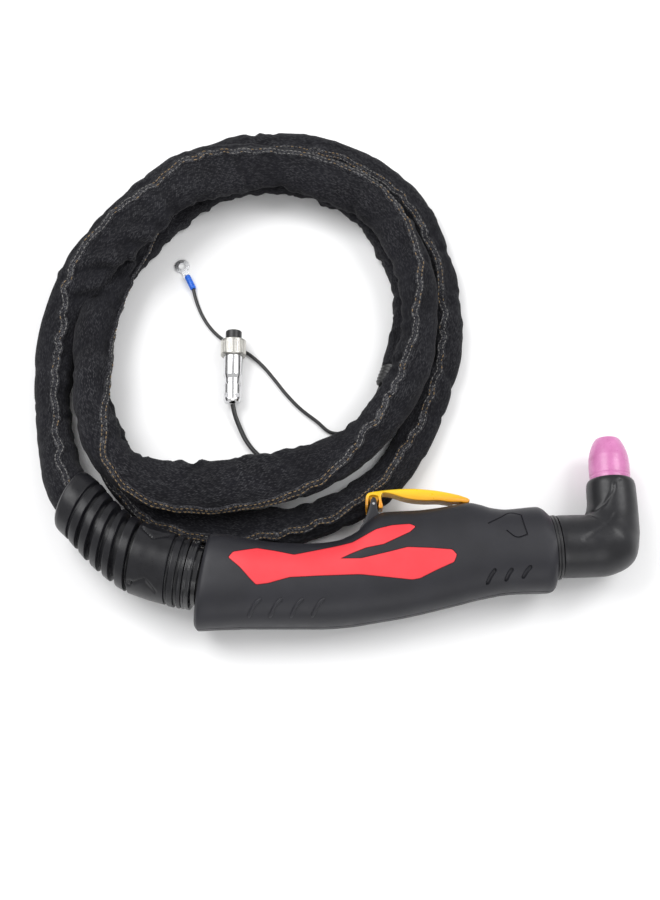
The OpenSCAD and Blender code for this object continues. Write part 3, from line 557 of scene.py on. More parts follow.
# ---------------------------------------------------------------- cords
COVER = [[-163, -64, 25, 14, 13], [-173, -53, 25, 14.5, 13.5], [-181, -43, 24, 15, 14], [-188, -30, 21, 15, 13.5], [-195, -11, 16, 13.5, 11.5], [-201, 14, 12.5, 13, 11],
  [-204, 45, 11.5, 13, 10.5], [-202, 80, 13, 15, 10], [-192, 112, 24, 16.5, 9], [-176, 138, 36.5, 17.5, 8.2], [-155, 158, 41, 20, 8], [-134, 180, 41, 20.5, 8],
  [-109, 205, 36.5, 20.5, 8], [-74, 220, 30, 20, 8.4], [-37, 221, 27.5, 18, 8.4], [-3, 211, 27.5, 18, 8.4], [28, 194, 26.5, 16.5, 8.4], [50, 166, 26.5, 14.5, 8.6],
  [63, 133, 26.5, 14, 8.6], [65, 95, 26.5, 14, 8.6], [60, 60, 26.5, 14, 8.6], [48, 29, 26.5, 15, 8.6], [27, 2, 27, 15, 8.6], [-6, -21, 28.5, 17, 8.6],
  [-45, -32, 29.5, 19, 8.6], [-85, -38, 29.5, 18.5, 8.6], [-123, -35, 28, 16.5, 8.6], [-153, -16, 26.5, 15, 8.6], [-169, 16, 26.5, 14, 8.6], [-173, 52, 26, 14, 8.4],
  [-173.5, 88, 25.5, 15, 8], [-165, 120, 24.5, 13, 8], [-153, 149, 24, 13.5, 7.8], [-139, 184, 22.5, 13.5, 7.8], [-115, 219, 19.5, 12.5, 8], [-79, 243, 15.5, 12.5, 8.2],
  [-39, 249, 11.5, 13, 8.5], [0, 244, 9.5, 13, 8.5], [36, 225, 9, 13, 8.5], [64, 194, 9, 12.5, 8.5], [80, 156, 9, 12.5, 8.5], [86, 116, 9, 12.5, 8.5],
  [85, 76, 9, 12.5, 8.5], [75, 39, 9, 13, 8.5], [59, 2, 9, 13.5, 8.5], [33, -31, 9, 13, 8.5], [-4, -54, 9, 13, 8.5], [-45, -63, 9, 14, 8.5],
  [-86, -61, 9, 15, 8.5], [-121, -48, 9, 15.5, 8.2], [-149, -23, 8.5, 15, 7.8], [-165, 10, 8.2, 12, 7.5], [-175, 47, 8, 12, 7.4], [-174, 86, 7.8, 12, 7.2],
  [-166, 124, 7.8, 10.8, 7.2], [-147, 158, 7.8, 10.6, 7.2], [-120, 191, 7.8, 10.5, 7.2], [-83, 216, 8, 10.3, 7.4], [-42, 222, 8.4, 10.8, 7.8], [-3, 212, 8.6, 11.2, 8],
  [29, 191, 8.6, 11.2, 8], [49, 157, 8.6, 11.2, 8], [60, 122, 8.6, 11.2, 8], [56, 86, 8.6, 11.2, 8], [50, 60, 8.6, 12, 7.8]]
SEAM_AT = [(0, 100), (4.4, 100), (6, 104), (7.2, 104), (8.3, 76), (9.4, 65), (10.5, 60), (11.5, 72), (12.4, 62), (13.3, 66), (14.2, 58), (15.2, 52), (16.3, 45),
           (17.4, 60), (18.5, 88), (19.5, 100), (20.5, 104), (21.4, 104), (22.3, 84), (23, 50), (23.7, 30), (24.3, 16), (25, 10), (25.9, 20), (26.9, 70),
           (27.9, 128), (28.9, 162), (30, 190), (32.7, 195), (34.4, 140), (36.4, 110), (38.4, 100), (41.7, 95), (44.7, 90), (45.6, 78), (46.5, 68), (47.3, 58),
           (48.3, 46), (49.2, 42), (52, 80), (54, 90), (64, 90)]


def build_sleeve():
    p, s, idx = route(COVER, 2.0)
    n, m = len(p), 60
    c, hw, hh = p[:, :3], p[:, 3].copy(), p[:, 4].copy()
    hw = np.interp(idx, np.arange(len(COVER)), [q[3] for q in COVER])
    hh = np.interp(idx, np.arange(len(COVER)), [q[4] for q in COVER])
    ker = np.hanning(17); ker /= ker.sum()
    sm = lambda v: np.convolve(np.pad(v, 8, mode="edge"), ker, "valid")
    hw, hh = sm(hw), sm(hh)
    d, w, u = frames(c)
    th = -math.pi / 2 + np.arange(m) * 2 * math.pi / m       # starts below, where the join is hidden
    seam = np.radians(np.interp(idx, [a for a, _ in SEAM_AT], [b for _, b in SEAM_AT]))
    seam = sm(sm(seam)) + smooth_noise(n, 3.4, 5) * 0.10 + smooth_noise(n, 8, 6) * 0.05
    disp = noise2(n, m, 22, 15, 1) * 1.0 + noise2(n, m, 9, 9, 2) * 0.55 + noise2(n, m, 4, 6, 3) * 0.16
    # tight and smooth where it leaves the strain relief, slack where it is pushed together
    slack = np.interp(idx, [0, 3, 6, 8, 9.5, 12.5, 15, 17, 20, 22, 24, 27, 30, 33, 36, 40, 46, 50, 64], [0.1, 0.5, 0.8, 1.1, 1.35, 1.3, 0.9, 0.9, 0.8, 0.9, 0.95, 1.1, 1.25, 1.3, 1, 1, 0.9, 1, 1])
    r = np.random.default_rng(11)
    arc = (hw + hh) / 2
    S = s[:, None] * np.ones((1, m))
    TH = np.ones((n, 1)) * th[None, :]
    folds = np.zeros((n, m))
    count = int(s[-1] / 2.6)
    for f in range(count):
        s0 = r.uniform(0, s[-1])
        i0 = np.searchsorted(s, s0)
        i0 = min(i0, n - 1)
        inner = r.random() < 0.55
        t0 = r.normal(math.pi, 0.8) if inner else r.uniform(-math.pi, math.pi)
        length = r.uniform(9, 26)
        width = r.uniform(1.6, 4.2)
        ang = r.normal(0, 0.55)
        amp = r.uniform(0.45, 1.55) * (1 if r.random() < 0.45 else -1) * slack[i0]
        lo, hi = max(0, i0 - 22), min(n, i0 + 23)
        ds = S[lo:hi] - s0
        da = ((TH[lo:hi] - t0 + math.pi) % (2 * math.pi) - math.pi) * arc[lo:hi, None]
        along = da * math.cos(ang) + ds * math.sin(ang)
        across = ds * math.cos(ang) - da * math.sin(ang)
        bow = across + along**2 * r.normal(0, 0.012)
        folds[lo:hi] += amp * np.exp(-(bow / width) ** 2) * np.exp(-(along / length) ** 2 * 1.6)
    folds = np.clip(folds, -2.4, 2.1)
    # deeper creases where the cover is pushed together in the bend
    for at, deg, length, width, ang, amp in ((8.1, 118, 20, 3.4, 0.9, -2.4), (8.5, 150, 24, 4.0, 0.7, 2.6), (8.9, 128, 26, 3.6, 0.8, -2.8), (9.3, 158, 22, 4.4, 0.5, 2.6),
                                             (9.6, 120, 24, 3.2, 1.0, -2.2), (9.9, 150, 22, 4.0, 0.4, -2.6), (10.3, 165, 18, 4.4, 0.2, 2.4), (10.6, 135, 22, 3.4, 0.7, -2.4),
                                             (10.9, 172, 14, 5.0, 0.0, 3.0), (11.25, 160, 18, 3.6, -0.2, -2.6), (11.7, 165, 16, 4.6, 0.1, 2.2), (12.1, 140, 22, 3.2, 0.3, -2.0),
                                             (13.2, 120, 24, 3.0, 0.2, -1.8), (14.6, 150, 20, 3.2, -0.3, -1.8), (15.9, 145, 22, 3.6, 0.5, -2.2), (16.6, 120, 22, 3.2, -0.6, -1.8),
                                             (17.6, 150, 18, 3.6, 0.3, -2.0), (18.8, 140, 20, 3.0, -0.4, -1.8), (20.2, 150, 22, 3.6, 0.4, -2.0), (22.4, 130, 24, 3.4, -0.5, -2.0),
                                             (23.6, 120, 26, 3.0, 0.8, -1.8), (25.4, 110, 26, 3.4, -0.8, -2.0), (26.6, 120, 24, 3.6, 0.7, -2.2), (29.4, 60, 24, 3.4, 0.8, -2.0),
                                             (30.6, 70, 26, 3.6, -0.7, -2.2), (31.9, 120, 22, 3.4, 0.4, -2.0), (40.2, 60, 24, 3.2, 0.6, -2.0), (42.6, 50, 26, 3.4, -0.6, -2.0)):
        s0 = np.interp(at, idx, s)
        ds = S - s0
        da = ((TH - math.radians(deg) + math.pi) % (2 * math.pi) - math.pi) * arc[:, None]
        along = da * math.cos(ang) + ds * math.sin(ang)
        across = ds * math.cos(ang) - da * math.sin(ang)
        folds += amp * np.exp(-((across + 0.006 * along**2) / width) ** 2) * np.exp(-(along / length) ** 2 * 1.6)
    folds = np.clip(folds, -3.6, 3.0)
    # long bulges on the inner side of the bends
    bul = smooth_noise(n, 15, 21) * np.interp(idx, [0, 3, 8, 11, 13, 16, 22, 25, 28, 30, 34, 64], [0, 0.4, 1.2, 2.4, 1.8, 1.0, 0.8, 1.2, 1.4, 1.4, 1.6, 1.2])
    disp = disp * slack[:, None] + folds + bul[:, None] * np.clip(-np.cos(TH), 0, 1) ** 1.5
    bul2 = smooth_noise(n, 24, 22) * 0.8
    disp += bul2[:, None] * np.clip(np.cos(TH), 0, 1) ** 1.5
    # fold of the felled seam
    ds_ = ((TH - seam[:, None] + math.pi) % (2 * math.pi) - math.pi) * arc[:, None]
    ridge = 0.7 / (1 + (np.abs(ds_) / 4.0) ** 6)
    pucker = smooth_noise(n, 2.6, 31)[:, None] * 0.3 * np.exp(-(ds_ / 3.2) ** 2)
    side_fold = -0.8 * np.exp(-((ds_ + 5.2) / 1.8) ** 2) - 0.5 * np.exp(-((ds_ - 5.2) / 1.8) ** 2)
    total = disp * (1 - 0.45 * np.exp(-(ds_ / 4) ** 2)) + ridge + pucker + side_fold
    # clean end in the strain relief and at the band
    fade = np.clip(s / 22, 0, 1) * np.clip((s[-1] - s) / 10, 0, 1)
    total *= fade[:, None]

    def surface(i, theta, extra=0.0):
        """Point of the cover at fractional ring i and angle theta."""
        i = np.asarray(i, float)
        lo = np.clip(i.astype(int), 0, n - 2)
        t = (i - lo)[:, None]
        k = ((theta - th[0]) / (2 * math.pi) * m) % m
        k0 = k.astype(int) % m
        k1, tk = (k0 + 1) % m, (k - np.floor(k))[:, None]
        cell = lambda a: (a[lo, k0] * (1 - t) + a[lo + 1, k0] * t) * (1 - tk) + (a[lo, k1] * (1 - t) + a[lo + 1, k1] * t) * tk
        pt = cell(rings)
        nn = cell(norms)
        nn /= np.linalg.norm(nn, axis=1)[:, None]
        return pt + nn * extra, nn

    ex = 2 / 2.25
    ca, sa = sgnpow(np.cos(th), ex), sgnpow(np.sin(th), ex)
    base = c[:, None, :] + w[:, None, :] * (hw[:, None] * ca)[..., None] + u[:, None, :] * (hh[:, None] * sa)[..., None]
    nn = w[:, None, :] * (np.cos(th) / hw[:, None])[..., None] + u[:, None, :] * (np.sin(th) / hh[:, None])[..., None]
    nn /= np.linalg.norm(nn, axis=2)[..., None]
    rings = base + nn * total[..., None]
    rings[..., 2] = np.maximum(rings[..., 2], 0.25 + 0.15 * np.sin(s / 9)[:, None] ** 2)
    ds1, ds2 = np.gradient(rings, axis=0), np.roll(rings, -1, 1) - np.roll(rings, 1, 1)
    norms = np.cross(ds2, ds1)
    norms /= np.linalg.norm(norms, axis=2)[..., None]
    norms *= np.where(np.sum(norms * nn, axis=2) < 0, -1.0, 1.0)[..., None]

    verts = [rings.reshape(-1, 3)]
    faces = grid_faces(n, m)
    nf = len(faces)
    faces.append(list(range(m - 1, -1, -1)))
    faces.append(list(range((n - 1) * m, n * m)))
    mats = [0] * len(faces)
    base_n = n * m
    # felled seam, a raised welt that wanders along the cover
    q = np.arange(10, s[-1] - 8, 0.9)
    ii = np.interp(q, s, np.arange(n))
    sd = np.interp(ii, np.arange(n), seam)
    pt, nn2 = surface(ii, sd, 0.0)
    kw = np.hanning(7); kw /= kw.sum()
    nn2 = np.stack([np.convolve(np.pad(nn2[:, k], 3, mode="edge"), kw, "valid") for k in range(3)], 1)
    nn2 /= np.linalg.norm(nn2, axis=1)[:, None]
    pt = np.stack([np.convolve(np.pad(pt[:, k], 3, mode="edge"), kw, "valid") for k in range(3)], 1)
    dd = np.gradient(pt, axis=0)
    dd /= np.linalg.norm(dd, axis=1)[:, None]
    bb = np.cross(nn2, dd)
    hx = np.array([-2.9, -2.75, -2.1, -1.55, -0.8, 0.8, 1.55, 2.1, 2.75, 2.9])
    hz = np.array([-0.9, 0.55, 1.02, 0.62, 0.86, 0.86, 0.62, 1.02, 0.55, -0.9])
    swell = 1 + 0.16 * smooth_noise(len(q), 4, 33)
    grow = np.clip(np.minimum(np.arange(len(q)), np.arange(len(q))[::-1]) / 6, 0.1, 1)
    wz = hz[None, :] * np.where(hz[None, :] > 0, (swell * grow)[:, None], 1.0)
    rg = pt[:, None, :] + bb[:, None, :] * (hx[None, :] * swell[:, None])[..., None] + nn2[:, None, :] * wz[..., None]
    rg = rg[:, ::-1]
    kx = len(hx)
    verts.append(rg.reshape(-1, 3))
    ff = grid_faces(len(q), kx, base=base_n)
    ff.append([base_n + k for k in range(kx - 1, -1, -1)])
    ff.append([base_n + (len(q) - 1) * kx + k for k in range(kx)])
    faces += ff
    mats += [3] * len(ff)
    base_n += len(q) * kx
    # stitches of the two rows, small raised loops of thread
    pitch, a = 3.1, np.arange(6) * math.pi / 3
    wp, wn, wb = pt, nn2, bb
    for row, side in ((0, 1.6), (1, -1.6)):
        q2 = np.arange(14 + row * 1.3, s[-1] - 12, pitch)
        jit = np.random.default_rng(40 + row)
        q2 = q2 + jit.uniform(-0.2, 0.2, len(q2))
        tan = np.interp(np.interp(q2, s, idx), [0, 8, 9, 22.5, 23.5, 27, 28, 33, 34, 44, 45, 49, 50], [0.1, 0.1, 0.3, 0.2, 1, 1, 0.2, 0.2, 0.3, 0.3, 0.8, 0.8, 0])
        for j, at in enumerate(q2):
            tt = np.linspace(-1.15, 1.15, 4)
            w_i = (at + tt - q[0]) / 0.9
            it = lambda arr: np.stack([np.interp(w_i, np.arange(len(q)), arr[:, k]) for k in range(3)], 1)
            cp, cn, cb = it(wp), it(wn), it(wb)
            lift = np.array([0.50, 0.95, 0.95, 0.50])
            rad = np.array([0.18, 0.33, 0.33, 0.18])
            cp = cp + cb * side + cn * lift[:, None]
            d3 = np.gradient(cp, axis=0)
            d3 /= np.linalg.norm(d3, axis=1)[:, None]
            b3 = np.cross(cn, d3)
            r3 = cp[:, None, :] + rad[:, None, None] * (b3[:, None, :] * np.cos(a)[None, :, None] + cn[:, None, :] * np.sin(a)[None, :, None])
            # ring order turned so that the faces look out
            r3 = r3[:, ::-1]
            verts.append(r3.reshape(-1, 3))
            ff = grid_faces(4, 6, base=base_n)
            ff.append([base_n + k for k in range(5, -1, -1)])
            ff.append([base_n + 18 + k for k in range(6)])
            faces += ff
            mats += [2 if jit.random() < tan[j] else 1] * len(ff)
            base_n += 24
    ob = obj_from("cable_sleeve_cloth", np.vstack(verts), faces)
    # thread-true map: metres along, metres around
    uvl = ob.data.uv_layers.new(name="cloth")
    uvs = np.zeros((len(ob.data.loops), 2), np.float32)
    per = np.arange(m + 1) / m * 0.088
    k = 0
    ii = np.repeat(np.arange(n - 1), m)
    kk = np.tile(np.arange(m), n - 1)
    uu, vv = s / 1000, per
    q = np.stack([np.stack([uu[ii], vv[kk]], 1), np.stack([uu[ii], vv[kk + 1]], 1), np.stack([uu[ii + 1], vv[kk + 1]], 1), np.stack([uu[ii + 1], vv[kk]], 1)], 1)
    uvs[: nf * 4] = q.reshape(-1, 2)
    uvl.uv.foreach_set("vector", uvs.ravel())
    # fold height for the cloth's flecks: raised folds lighter as wear, creases darker as painted shade
    wa = ob.data.attributes.new("fold_wear_and_shade", "FLOAT", "POINT")
    val = np.zeros(len(ob.data.vertices), np.float32)
    val[: n * m] = np.clip(total / 1.8, -1, 1).ravel()
    wa.data.foreach_set("value", val)
    finish_piece(ob, BENCH, [M["denim"], M["thread_pale"], M["thread_tan"], M["welt"]], sharp=0, replaces=["cable_sleeve"])
    ob.data.polygons.foreach_set("material_index", mats)
    ob.data.update()
    return ob, (c + BENCH) / 1000, s[-1] / 1000


def tube_piece(name, pts, radius, mat, replaces, step=1.5, seg=20, uneven=0.0, seed=1, ends=True):
    p, s, idx = route(pts, step)
    c = p[:, :3]
    d, w, u = frames(c)
    rad = np.interp(idx, np.arange(len(pts)), radius) if np.ndim(radius) else np.full(len(c), float(radius))
    a = np.arange(seg) * 2 * math.pi / seg
    bumpy = noise2(len(c), seg, 9, seg / 3, seed) * uneven
    rr = rad[:, None] + bumpy
    rings = c[:, None, :] + w[:, None, :] * (rr * np.cos(a))[..., None] + u[:, None, :] * (rr * np.sin(a))[..., None]
    if ends:
        # rounded cut ends
        first = c[0] + (rings[0] - c[0]) * 0.86 - d[0] * 0.0
        last = c[-1] + (rings[-1] - c[-1]) * 0.86 + d[-1] * 0.0
        rings = np.concatenate([first[None], rings[:1] + d[0] * 0.25, rings[1:-1], rings[-1:] - d[-1] * 0.25, last[None]])
    ob = loft(name, rings)
    finish_piece(ob, BENCH, mat, sharp=40, replaces=replaces)
    return ob, (c + BENCH) / 1000, s[-1] / 1000


TAIL = [[50, 44.8, 7.6], [43.5, 30, 7.2], [33.5, 14, 7.2], [18.5, 0, 7.2], [0, -12, 7.2], [-20, -21, 7.2], [-38, -26.5, 7.8], [-50, -29.2, 9], [-57, -30.6, 9.8], [-64, -31.5, 9.8]]
LEAD = [[40.4, 47.5, 3.4], [34, 32, 1.9], [24, 17.6, 1.9], [8, 5, 1.9], [-12, -5, 1.9], [-30, -11, 1.9], [-44, -10, 1.9], [-54, -3, 1.9],
        [-61, 6, 2], [-66, 16, 2.8], [-70, 26.2, 4.8], [-71.7, 33.6, 6.5]]
PILOT = [[37.2, 48.4, 4.6], [31.5, 35, 1.6], [24, 24, 1.4], [12, 13, 1.4], [1, 13, 1.4], [-10, 22, 1.4], [-21, 31, 1.4], [-33, 44, 1.4],
         [-42, 56, 1.4], [-51, 67, 1.4], [-61, 76, 1.4], [-72, 82.5, 1.4], [-82, 89, 1.4], [-90, 97, 1.4], [-96, 106, 1.4], [-100.5, 116, 1.4],
         [-103.4, 125, 1.8], [-104.8, 130.5, 2.5]]

sleeve, sleeve_path, sleeve_len = build_sleeve()
tail, tail_path, tail_len = tube_piece("hose_tail_rubber", TAIL, 7.0, M["hose"], ["hose_tail"], seg=40, uneven=0.08)
lead, lead_path, lead_len = tube_piece("trigger_lead_wire", LEAD, 1.7, M["wire"], ["trigger_lead"], seg=20, uneven=0.05, seed=3)
pilot, pilot_path, pilot_len = tube_piece("pilot_lead_wire", PILOT, 1.3, M["wire"], ["pilot_lead"], seg=18, uneven=0.04, seed=4)

# band that gathers the cover's end on the hose
bp, bs, bi = route([[50.6, 62, 8.6], [50, 60, 8.6], [47.5, 52, 8.4], [45.8, 46, 8.2]], 0.5)
bd, bw, bu = frames(bp[:, :3])
ang = np.arange(56) * 2 * math.pi / 56
ba = np.interp(bs / bs[-1], [0, 0.12, 0.5, 0.9, 1], [12.2, 12.0, 12.1, 12.5, 12.2])
bb_ = np.interp(bs / bs[-1], [0, 0.12, 0.5, 0.9, 1], [8.2, 8.1, 7.95, 7.8, 7.6])
turnsy = 0.22 * np.sin(bs[:, None] * 2.4 + ang[None] * 1.0) + noise2(len(bs), 56, 8, 8, 9) * 0.15
turnsy[0] = turnsy[-1] = -0.3
br = bp[:, None, :3] + bw[:, None] * ((ba[:, None] + turnsy) * np.cos(ang))[..., None] + bu[:, None] * ((bb_[:, None] + turnsy) * np.sin(ang))[..., None]
br[..., 2] = np.maximum(br[..., 2], 0.2)
band = loft("sleeve_end_wrap", br)
finish_piece(band, BENCH, M["band"], replaces=["sleeve_end_band"])

# ---------------------------------------------------------------- handle
ST = np.array([
    [-87, -73.5, -136, 22, 8, 2.3], [-84.5, -72, -138.5, 23.6, 8, 2.4], [-77, -72.5, -138, 24.2, 6, 2.5],
    [-66, -74.5, -137.5, 24.7, 4, 2.5], [-54, -76.5, -137, 25, 2, 2.5], [-42, -78.2, -137, 25, 0, 2.5],
    [-30, -79.2, -137, 25, 0, 2.5], [-18, -79.5, -137, 25, 0, 2.5], [-6, -79, -137, 25, 0, 2.5],
    [5, -77.4, -136.5, 25, 0, 2.5], [13, -74.2, -135.8, 25, 0, 2.5], [19, -70.5, -135, 25, 0, 2.5],
    [25, -64.5, -134, 24.8, 0, 2.5], [31, -59.5, -133, 24.6, 0, 2.5], [37, -57, -132, 24.4, 0, 2.5],
    [47, -56.2, -130.3, 24.1, 0, 2.5], [59, -55.6, -127.8, 23.8, 0, 2.5], [70, -54.4, -125.2, 23.5, 0, 2.5],
    [80, -52.8, -122.7, 23.3, 0, 2.5], [88, -51.2, -120.7, 23.1, 0, 2.5], [96, -50, -118.5, 23, 0, 2.5],
    [104, -51.4, -116.5, 23, -1, 2.5], [112, -53.8, -114.7, 23, -2, 2.5], [122, -55, -113.2, 23, -3, 2.5],
    [134, -54, -112.6, 23, -4, 2.5], [145, -53, -112.4, 23, -5, 2.4], [149, -54.2, -111.6, 22.9, -5.5, 2.2],
    [151.5, -56.5, -108.6, 22.7, -5.5, 2], [152.6, -58.2, -105, 22.5, -5.5, 2]])


def st_at(x):
    return spline(ST[:, 0], ST[:, 1:], np.atleast_1d(x), mono=True)


def shell_rings(off, x0=-87.0, x1=152.6, step=1.6, m=144):
    k = ST[(ST[:, 0] >= x0 - 1e-6) & (ST[:, 0] <= x1 + 1e-6), 0]
    xs = np.unique(np.concatenate([np.linspace(a, b, max(4, int((b - a) / step)) + 1) for a, b in zip(k[:-1], k[1:])]))
    v = st_at(xs)
    t = np.arange(m) * 2 * math.pi / m
    rings = []
    for x, (top, bot, hd, tilt, ex) in zip(xs, v):
        yc, a, b = (top + bot) / 2, (top - bot) / 2 - off, hd - off
        dy, dz = a * sgnpow(np.cos(t), 2 / ex), b * sgnpow(np.sin(t), 2 / ex)
        rings.append(np.stack([x + math.tan(math.radians(tilt)) * dy, yc + dy, dz], 1))
    return rings


def surf_z(x, y):
    """Height of the handle's outside above its middle plane."""
    x, y = np.asarray(x, float), np.asarray(y, float)
    x0 = x.copy()
    for _ in range(4):
        v = st_at(x0)
        yc = (v[:, 0] + v[:, 1]) / 2
        x0 = np.clip(x - np.tan(np.radians(v[:, 3])) * (y - yc), -87, 152.6)
    v = st_at(x0)
    yc, a = (v[:, 0] + v[:, 1]) / 2, (v[:, 0] - v[:, 1]) / 2
    q = np.clip(1 - np.abs((y - yc) / a) ** v[:, 4], 0, 1)
    return v[:, 2] * q ** (1 / v[:, 4])


INLAY = [[-68, -94], [-65, -90], [-49, -87], [-37, -89], [-24, -92], [-7, -88], [15, -83], [24, -78],
         [31, -74], [42, -71], [54, -70], [58, -72], [54, -76], [46, -80], [36, -85], [24, -87.5], [14, -91.5],
         [7, -95], [21, -95], [37, -91], [52, -87], [68, -87.5], [82, -88.5], [85, -92], [83, -97], [72, -102],
         [60, -108], [55, -109], [38, -107.5], [20, -106], [-8, -107], [-27, -108], [-41, -112], [-49, -113],
         [-53, -109], [-60, -101]]
SCREWS = [[-64, -118], [-30, -127], [30, -123], [112, -104], [128, -64]]


def sweep(name, xy, hw, up, down, side=1, taper=True, n=20, m=14, z_of=None):
    """Rounded strip laid along the handle's face through the points xy."""
    p, s, _ = route([[a, b, 0] for a, b in xy], max(0.35, cumlen(np.array([[a, b, 0] for a, b in xy]))[-1] / n))
    x, y = p[:, 0], p[:, 1]
    z = surf_z(x, y)
    e = 0.4
    nx = -(surf_z(x + e, y) - surf_z(x - e, y)) / (2 * e)
    ny = -(surf_z(x, y + e) - surf_z(x, y - e)) / (2 * e)
    nn = np.stack([nx, ny, np.ones_like(nx)], 1)
    nn /= np.linalg.norm(nn, axis=1)[:, None]
    c = np.stack([x, y, z], 1)
    d = np.gradient(c, axis=0)
    d /= np.linalg.norm(d, axis=1)[:, None]
    b = np.cross(d, nn)
    q = s / s[-1]
    f = np.sqrt(np.clip(1 - (2 * q - 1) ** 8, 0.02, 1)) if taper else np.ones(len(q))
    t = np.arange(m) * 2 * math.pi / m
    rings = []
    for i in range(len(c)):
        hgt = np.where(np.sin(t) > 0, up * f[i], down)
        rings.append(c[i] + b[i] * (hw * f[i] * np.cos(t))[:, None] * -1 + nn[i] * (hgt * np.sin(t))[:, None])
    r = np.array(rings)
    if side < 0:
        r = r * np.array([1, 1, -1])
        r = r[:, ::-1]
    # rings must run counter-clockwise about the way of travel
    dirn = r[1].mean(0) - r[0].mean(0)
    nrm = np.cross(r[0][1] - r[0][0], r[0][m // 3] - r[0][0])
    if nrm @ dirn < 0:
        r = r[:, ::-1]
    return loft(name, r)


def box_solid(name, x0, x1, y0, y1, z0, z1):
    return prism(name, [[x0, y0], [x1, y0], [x1, y1], [x0, y1]], z0, z1)


def disc(name, r, origin, axis, h, seg=48, r2=None):
    return place(turned(name, [(r, 0), (r if r2 is None else r2, h)], seg), origin, axis)


def cheeks_profile():
    return [[18, -74], [20, -69.5], [22.6, -65], [25, -59.5], [26.6, -55], [27.6, -51], [28.4, -48], [29.3, -46.3], [30.6, -45.8],
            [31.6, -46.6], [32.4, -49], [32.9, -52.5], [33.3, -57], [35, -60], [35, -74]]


def handle_shells():
    body = loft("shell_work", shell_rings(0))
    # seam line around the whole handle, a little above its middle
    slab = box_solid("slab", -120, 180, -180, -20, 2.5 - 0.4, 2.5 + 0.4)
    boolean(slab, loft("core", shell_rings(0.75, m=96, step=3)))
    boolean(body, slab)
    # recess under the soft inlay, on both sides
    out, _ = round_poly(inset(INLAY, -0.3), 1.1)
    for s in (1, -1):
        cut = prism("cut", out, 12 if s > 0 else -40, 40 if s > 0 else -12)
        boolean(cut, loft("core", shell_rings(1.05, -84.5, 122, m=120, step=2.5)))
        boolean(body, cut)
    # slanted slots before the head, step line by the lever's front, ribs at the bottom edge
    for s in (1, -1):
        for a, b in (((105, -111), (111, -101)), ((117.6, -108.8), (122.4, -100.6)), ((129, -107), (135, -99))):
            boolean(body, sweep("slot", [a, ((a[0] + b[0]) / 2 - 0.4, (a[1] + b[1]) / 2 + 0.3), b], 1.5, 1.5, 1.7, s))
        for line in (((107, -70), (116, -65), (123, -61), (130, -63)), ((130, -63), (131, -70), (133, -78)), ((119, -75), (126, -80), (133, -78))):
            boolean(body, sweep("line", line, 0.55, 0.8, 0.9, s, taper=False))
        for x in (-54, -40, -26, -12):
            rib = sweep("rib", [(x, -133.2), (x + 1.8, -129.5), (x + 4.6, -125.4), (x + 8.6, -121.8)], 1.3, 1.05, 1.6, s)
            boolean(body, rib, "UNION")
    # inside: hollow with screw posts, spigot seat, neck and lever openings
    hollow = loft("hollow", shell_rings(2.6, -77, 145, m=72, step=4))
    for q in SCREWS:
        boolean(hollow, disc("post", 4.1, (q[0], q[1], -30), (0, 0, 1), 60))
    for x in (78, 115):
        boolean(hollow, box_solid("web", x, x + 2.5, -150, -10, -40, 40))
    boolean(hollow, box_solid("web", 140, 152, -150, -10, -40, 40))
    boolean(body, hollow)
    boolean(body, disc("neck", 6.15, (60, -80, 0), (1, 0, 0), 75))
    boolean(body, disc("spigot", 15.2, (134, -80, 0), (1, 0, 0), 30, 72))
    a = math.radians(-10)
    boolean(body, disc("bore", 17.7, (-88 - 8 * math.cos(a), -101 - 8 * math.sin(a), 0), (math.cos(a), math.sin(a), 0), 24, 72))
    slot, _ = round_poly([[77, -6.3], [99, -6.3], [99, 6.3], [77, 6.3]], 1.5, step=3)
    sl = prism("slot", slot, 0, 16)
    co = np.array([v.co for v in sl.data.vertices])
    sl.data.vertices.foreach_set("co", np.stack([co[:, 0], -44 - co[:, 2], co[:, 1]], 1).ravel())
    fix_normals(sl)
    boolean(body, sl)
    boolean(body, box_solid("pocket", 79.8, 94.2, -74.1, -58, -6.2, 6.2))
    boolean(body, box_solid("wires", 76, 81, -72, -68, -5.5, 5.5))
    for q in SCREWS:
        boolean(body, disc("hole", 1.75, (q[0], q[1], -40), (0, 0, 1), 52, 24))
        boolean(body, disc("head", 3.2, (q[0], q[1], -45), (0, 0, 1), 33, 40))
    # fin that carries the lever's pin
    fin = rounded_plate("fin", cheeks_profile(), 6.5, [(0.9, 6.5), (0.32, 6.2), (0.06, 5.7), (0, 5.2)])
    boolean(fin, box_solid("gap", 22, 38, -57.5, -37.5, -3.2, 3.2))
    boolean(fin, box_solid("seam", 10, 40, -80, -40, 2.5 - 0.12, 2.5 + 0.12), keep=False)
    boolean(body, fin, "UNION")
    boolean(body, disc("pin", 1.03, (30.3, -50.8, -20), (0, 0, 1), 40, 32))
    other = body.copy()
    other.data = body.data.copy()
    bpy.context.scene.collection.objects.link(other)
    boolean(body, box_solid("lo", -130, 180, -190, -10, -60, 2.5))
    boolean(other, box_solid("hi", -130, 180, -190, -10, 2.5, 60))
    body.name, other.name = "shell_upper_skin", "shell_lower_skin"
    finish_piece(body, TORCH, M["shell"], replaces=["handle_shell_upper"], sharp=30)
    finish_piece(other, TORCH, M["shell"], replaces=["handle_shell_lower"], sharp=30)


def fix_normals(ob):
    import bmesh
    bm = bmesh.new()
    bm.from_mesh(ob.data)
    bmesh.ops.recalc_face_normals(bm, faces=bm.faces)
    bm.to_mesh(ob.data)
    bm.free()
    ob.data.update()


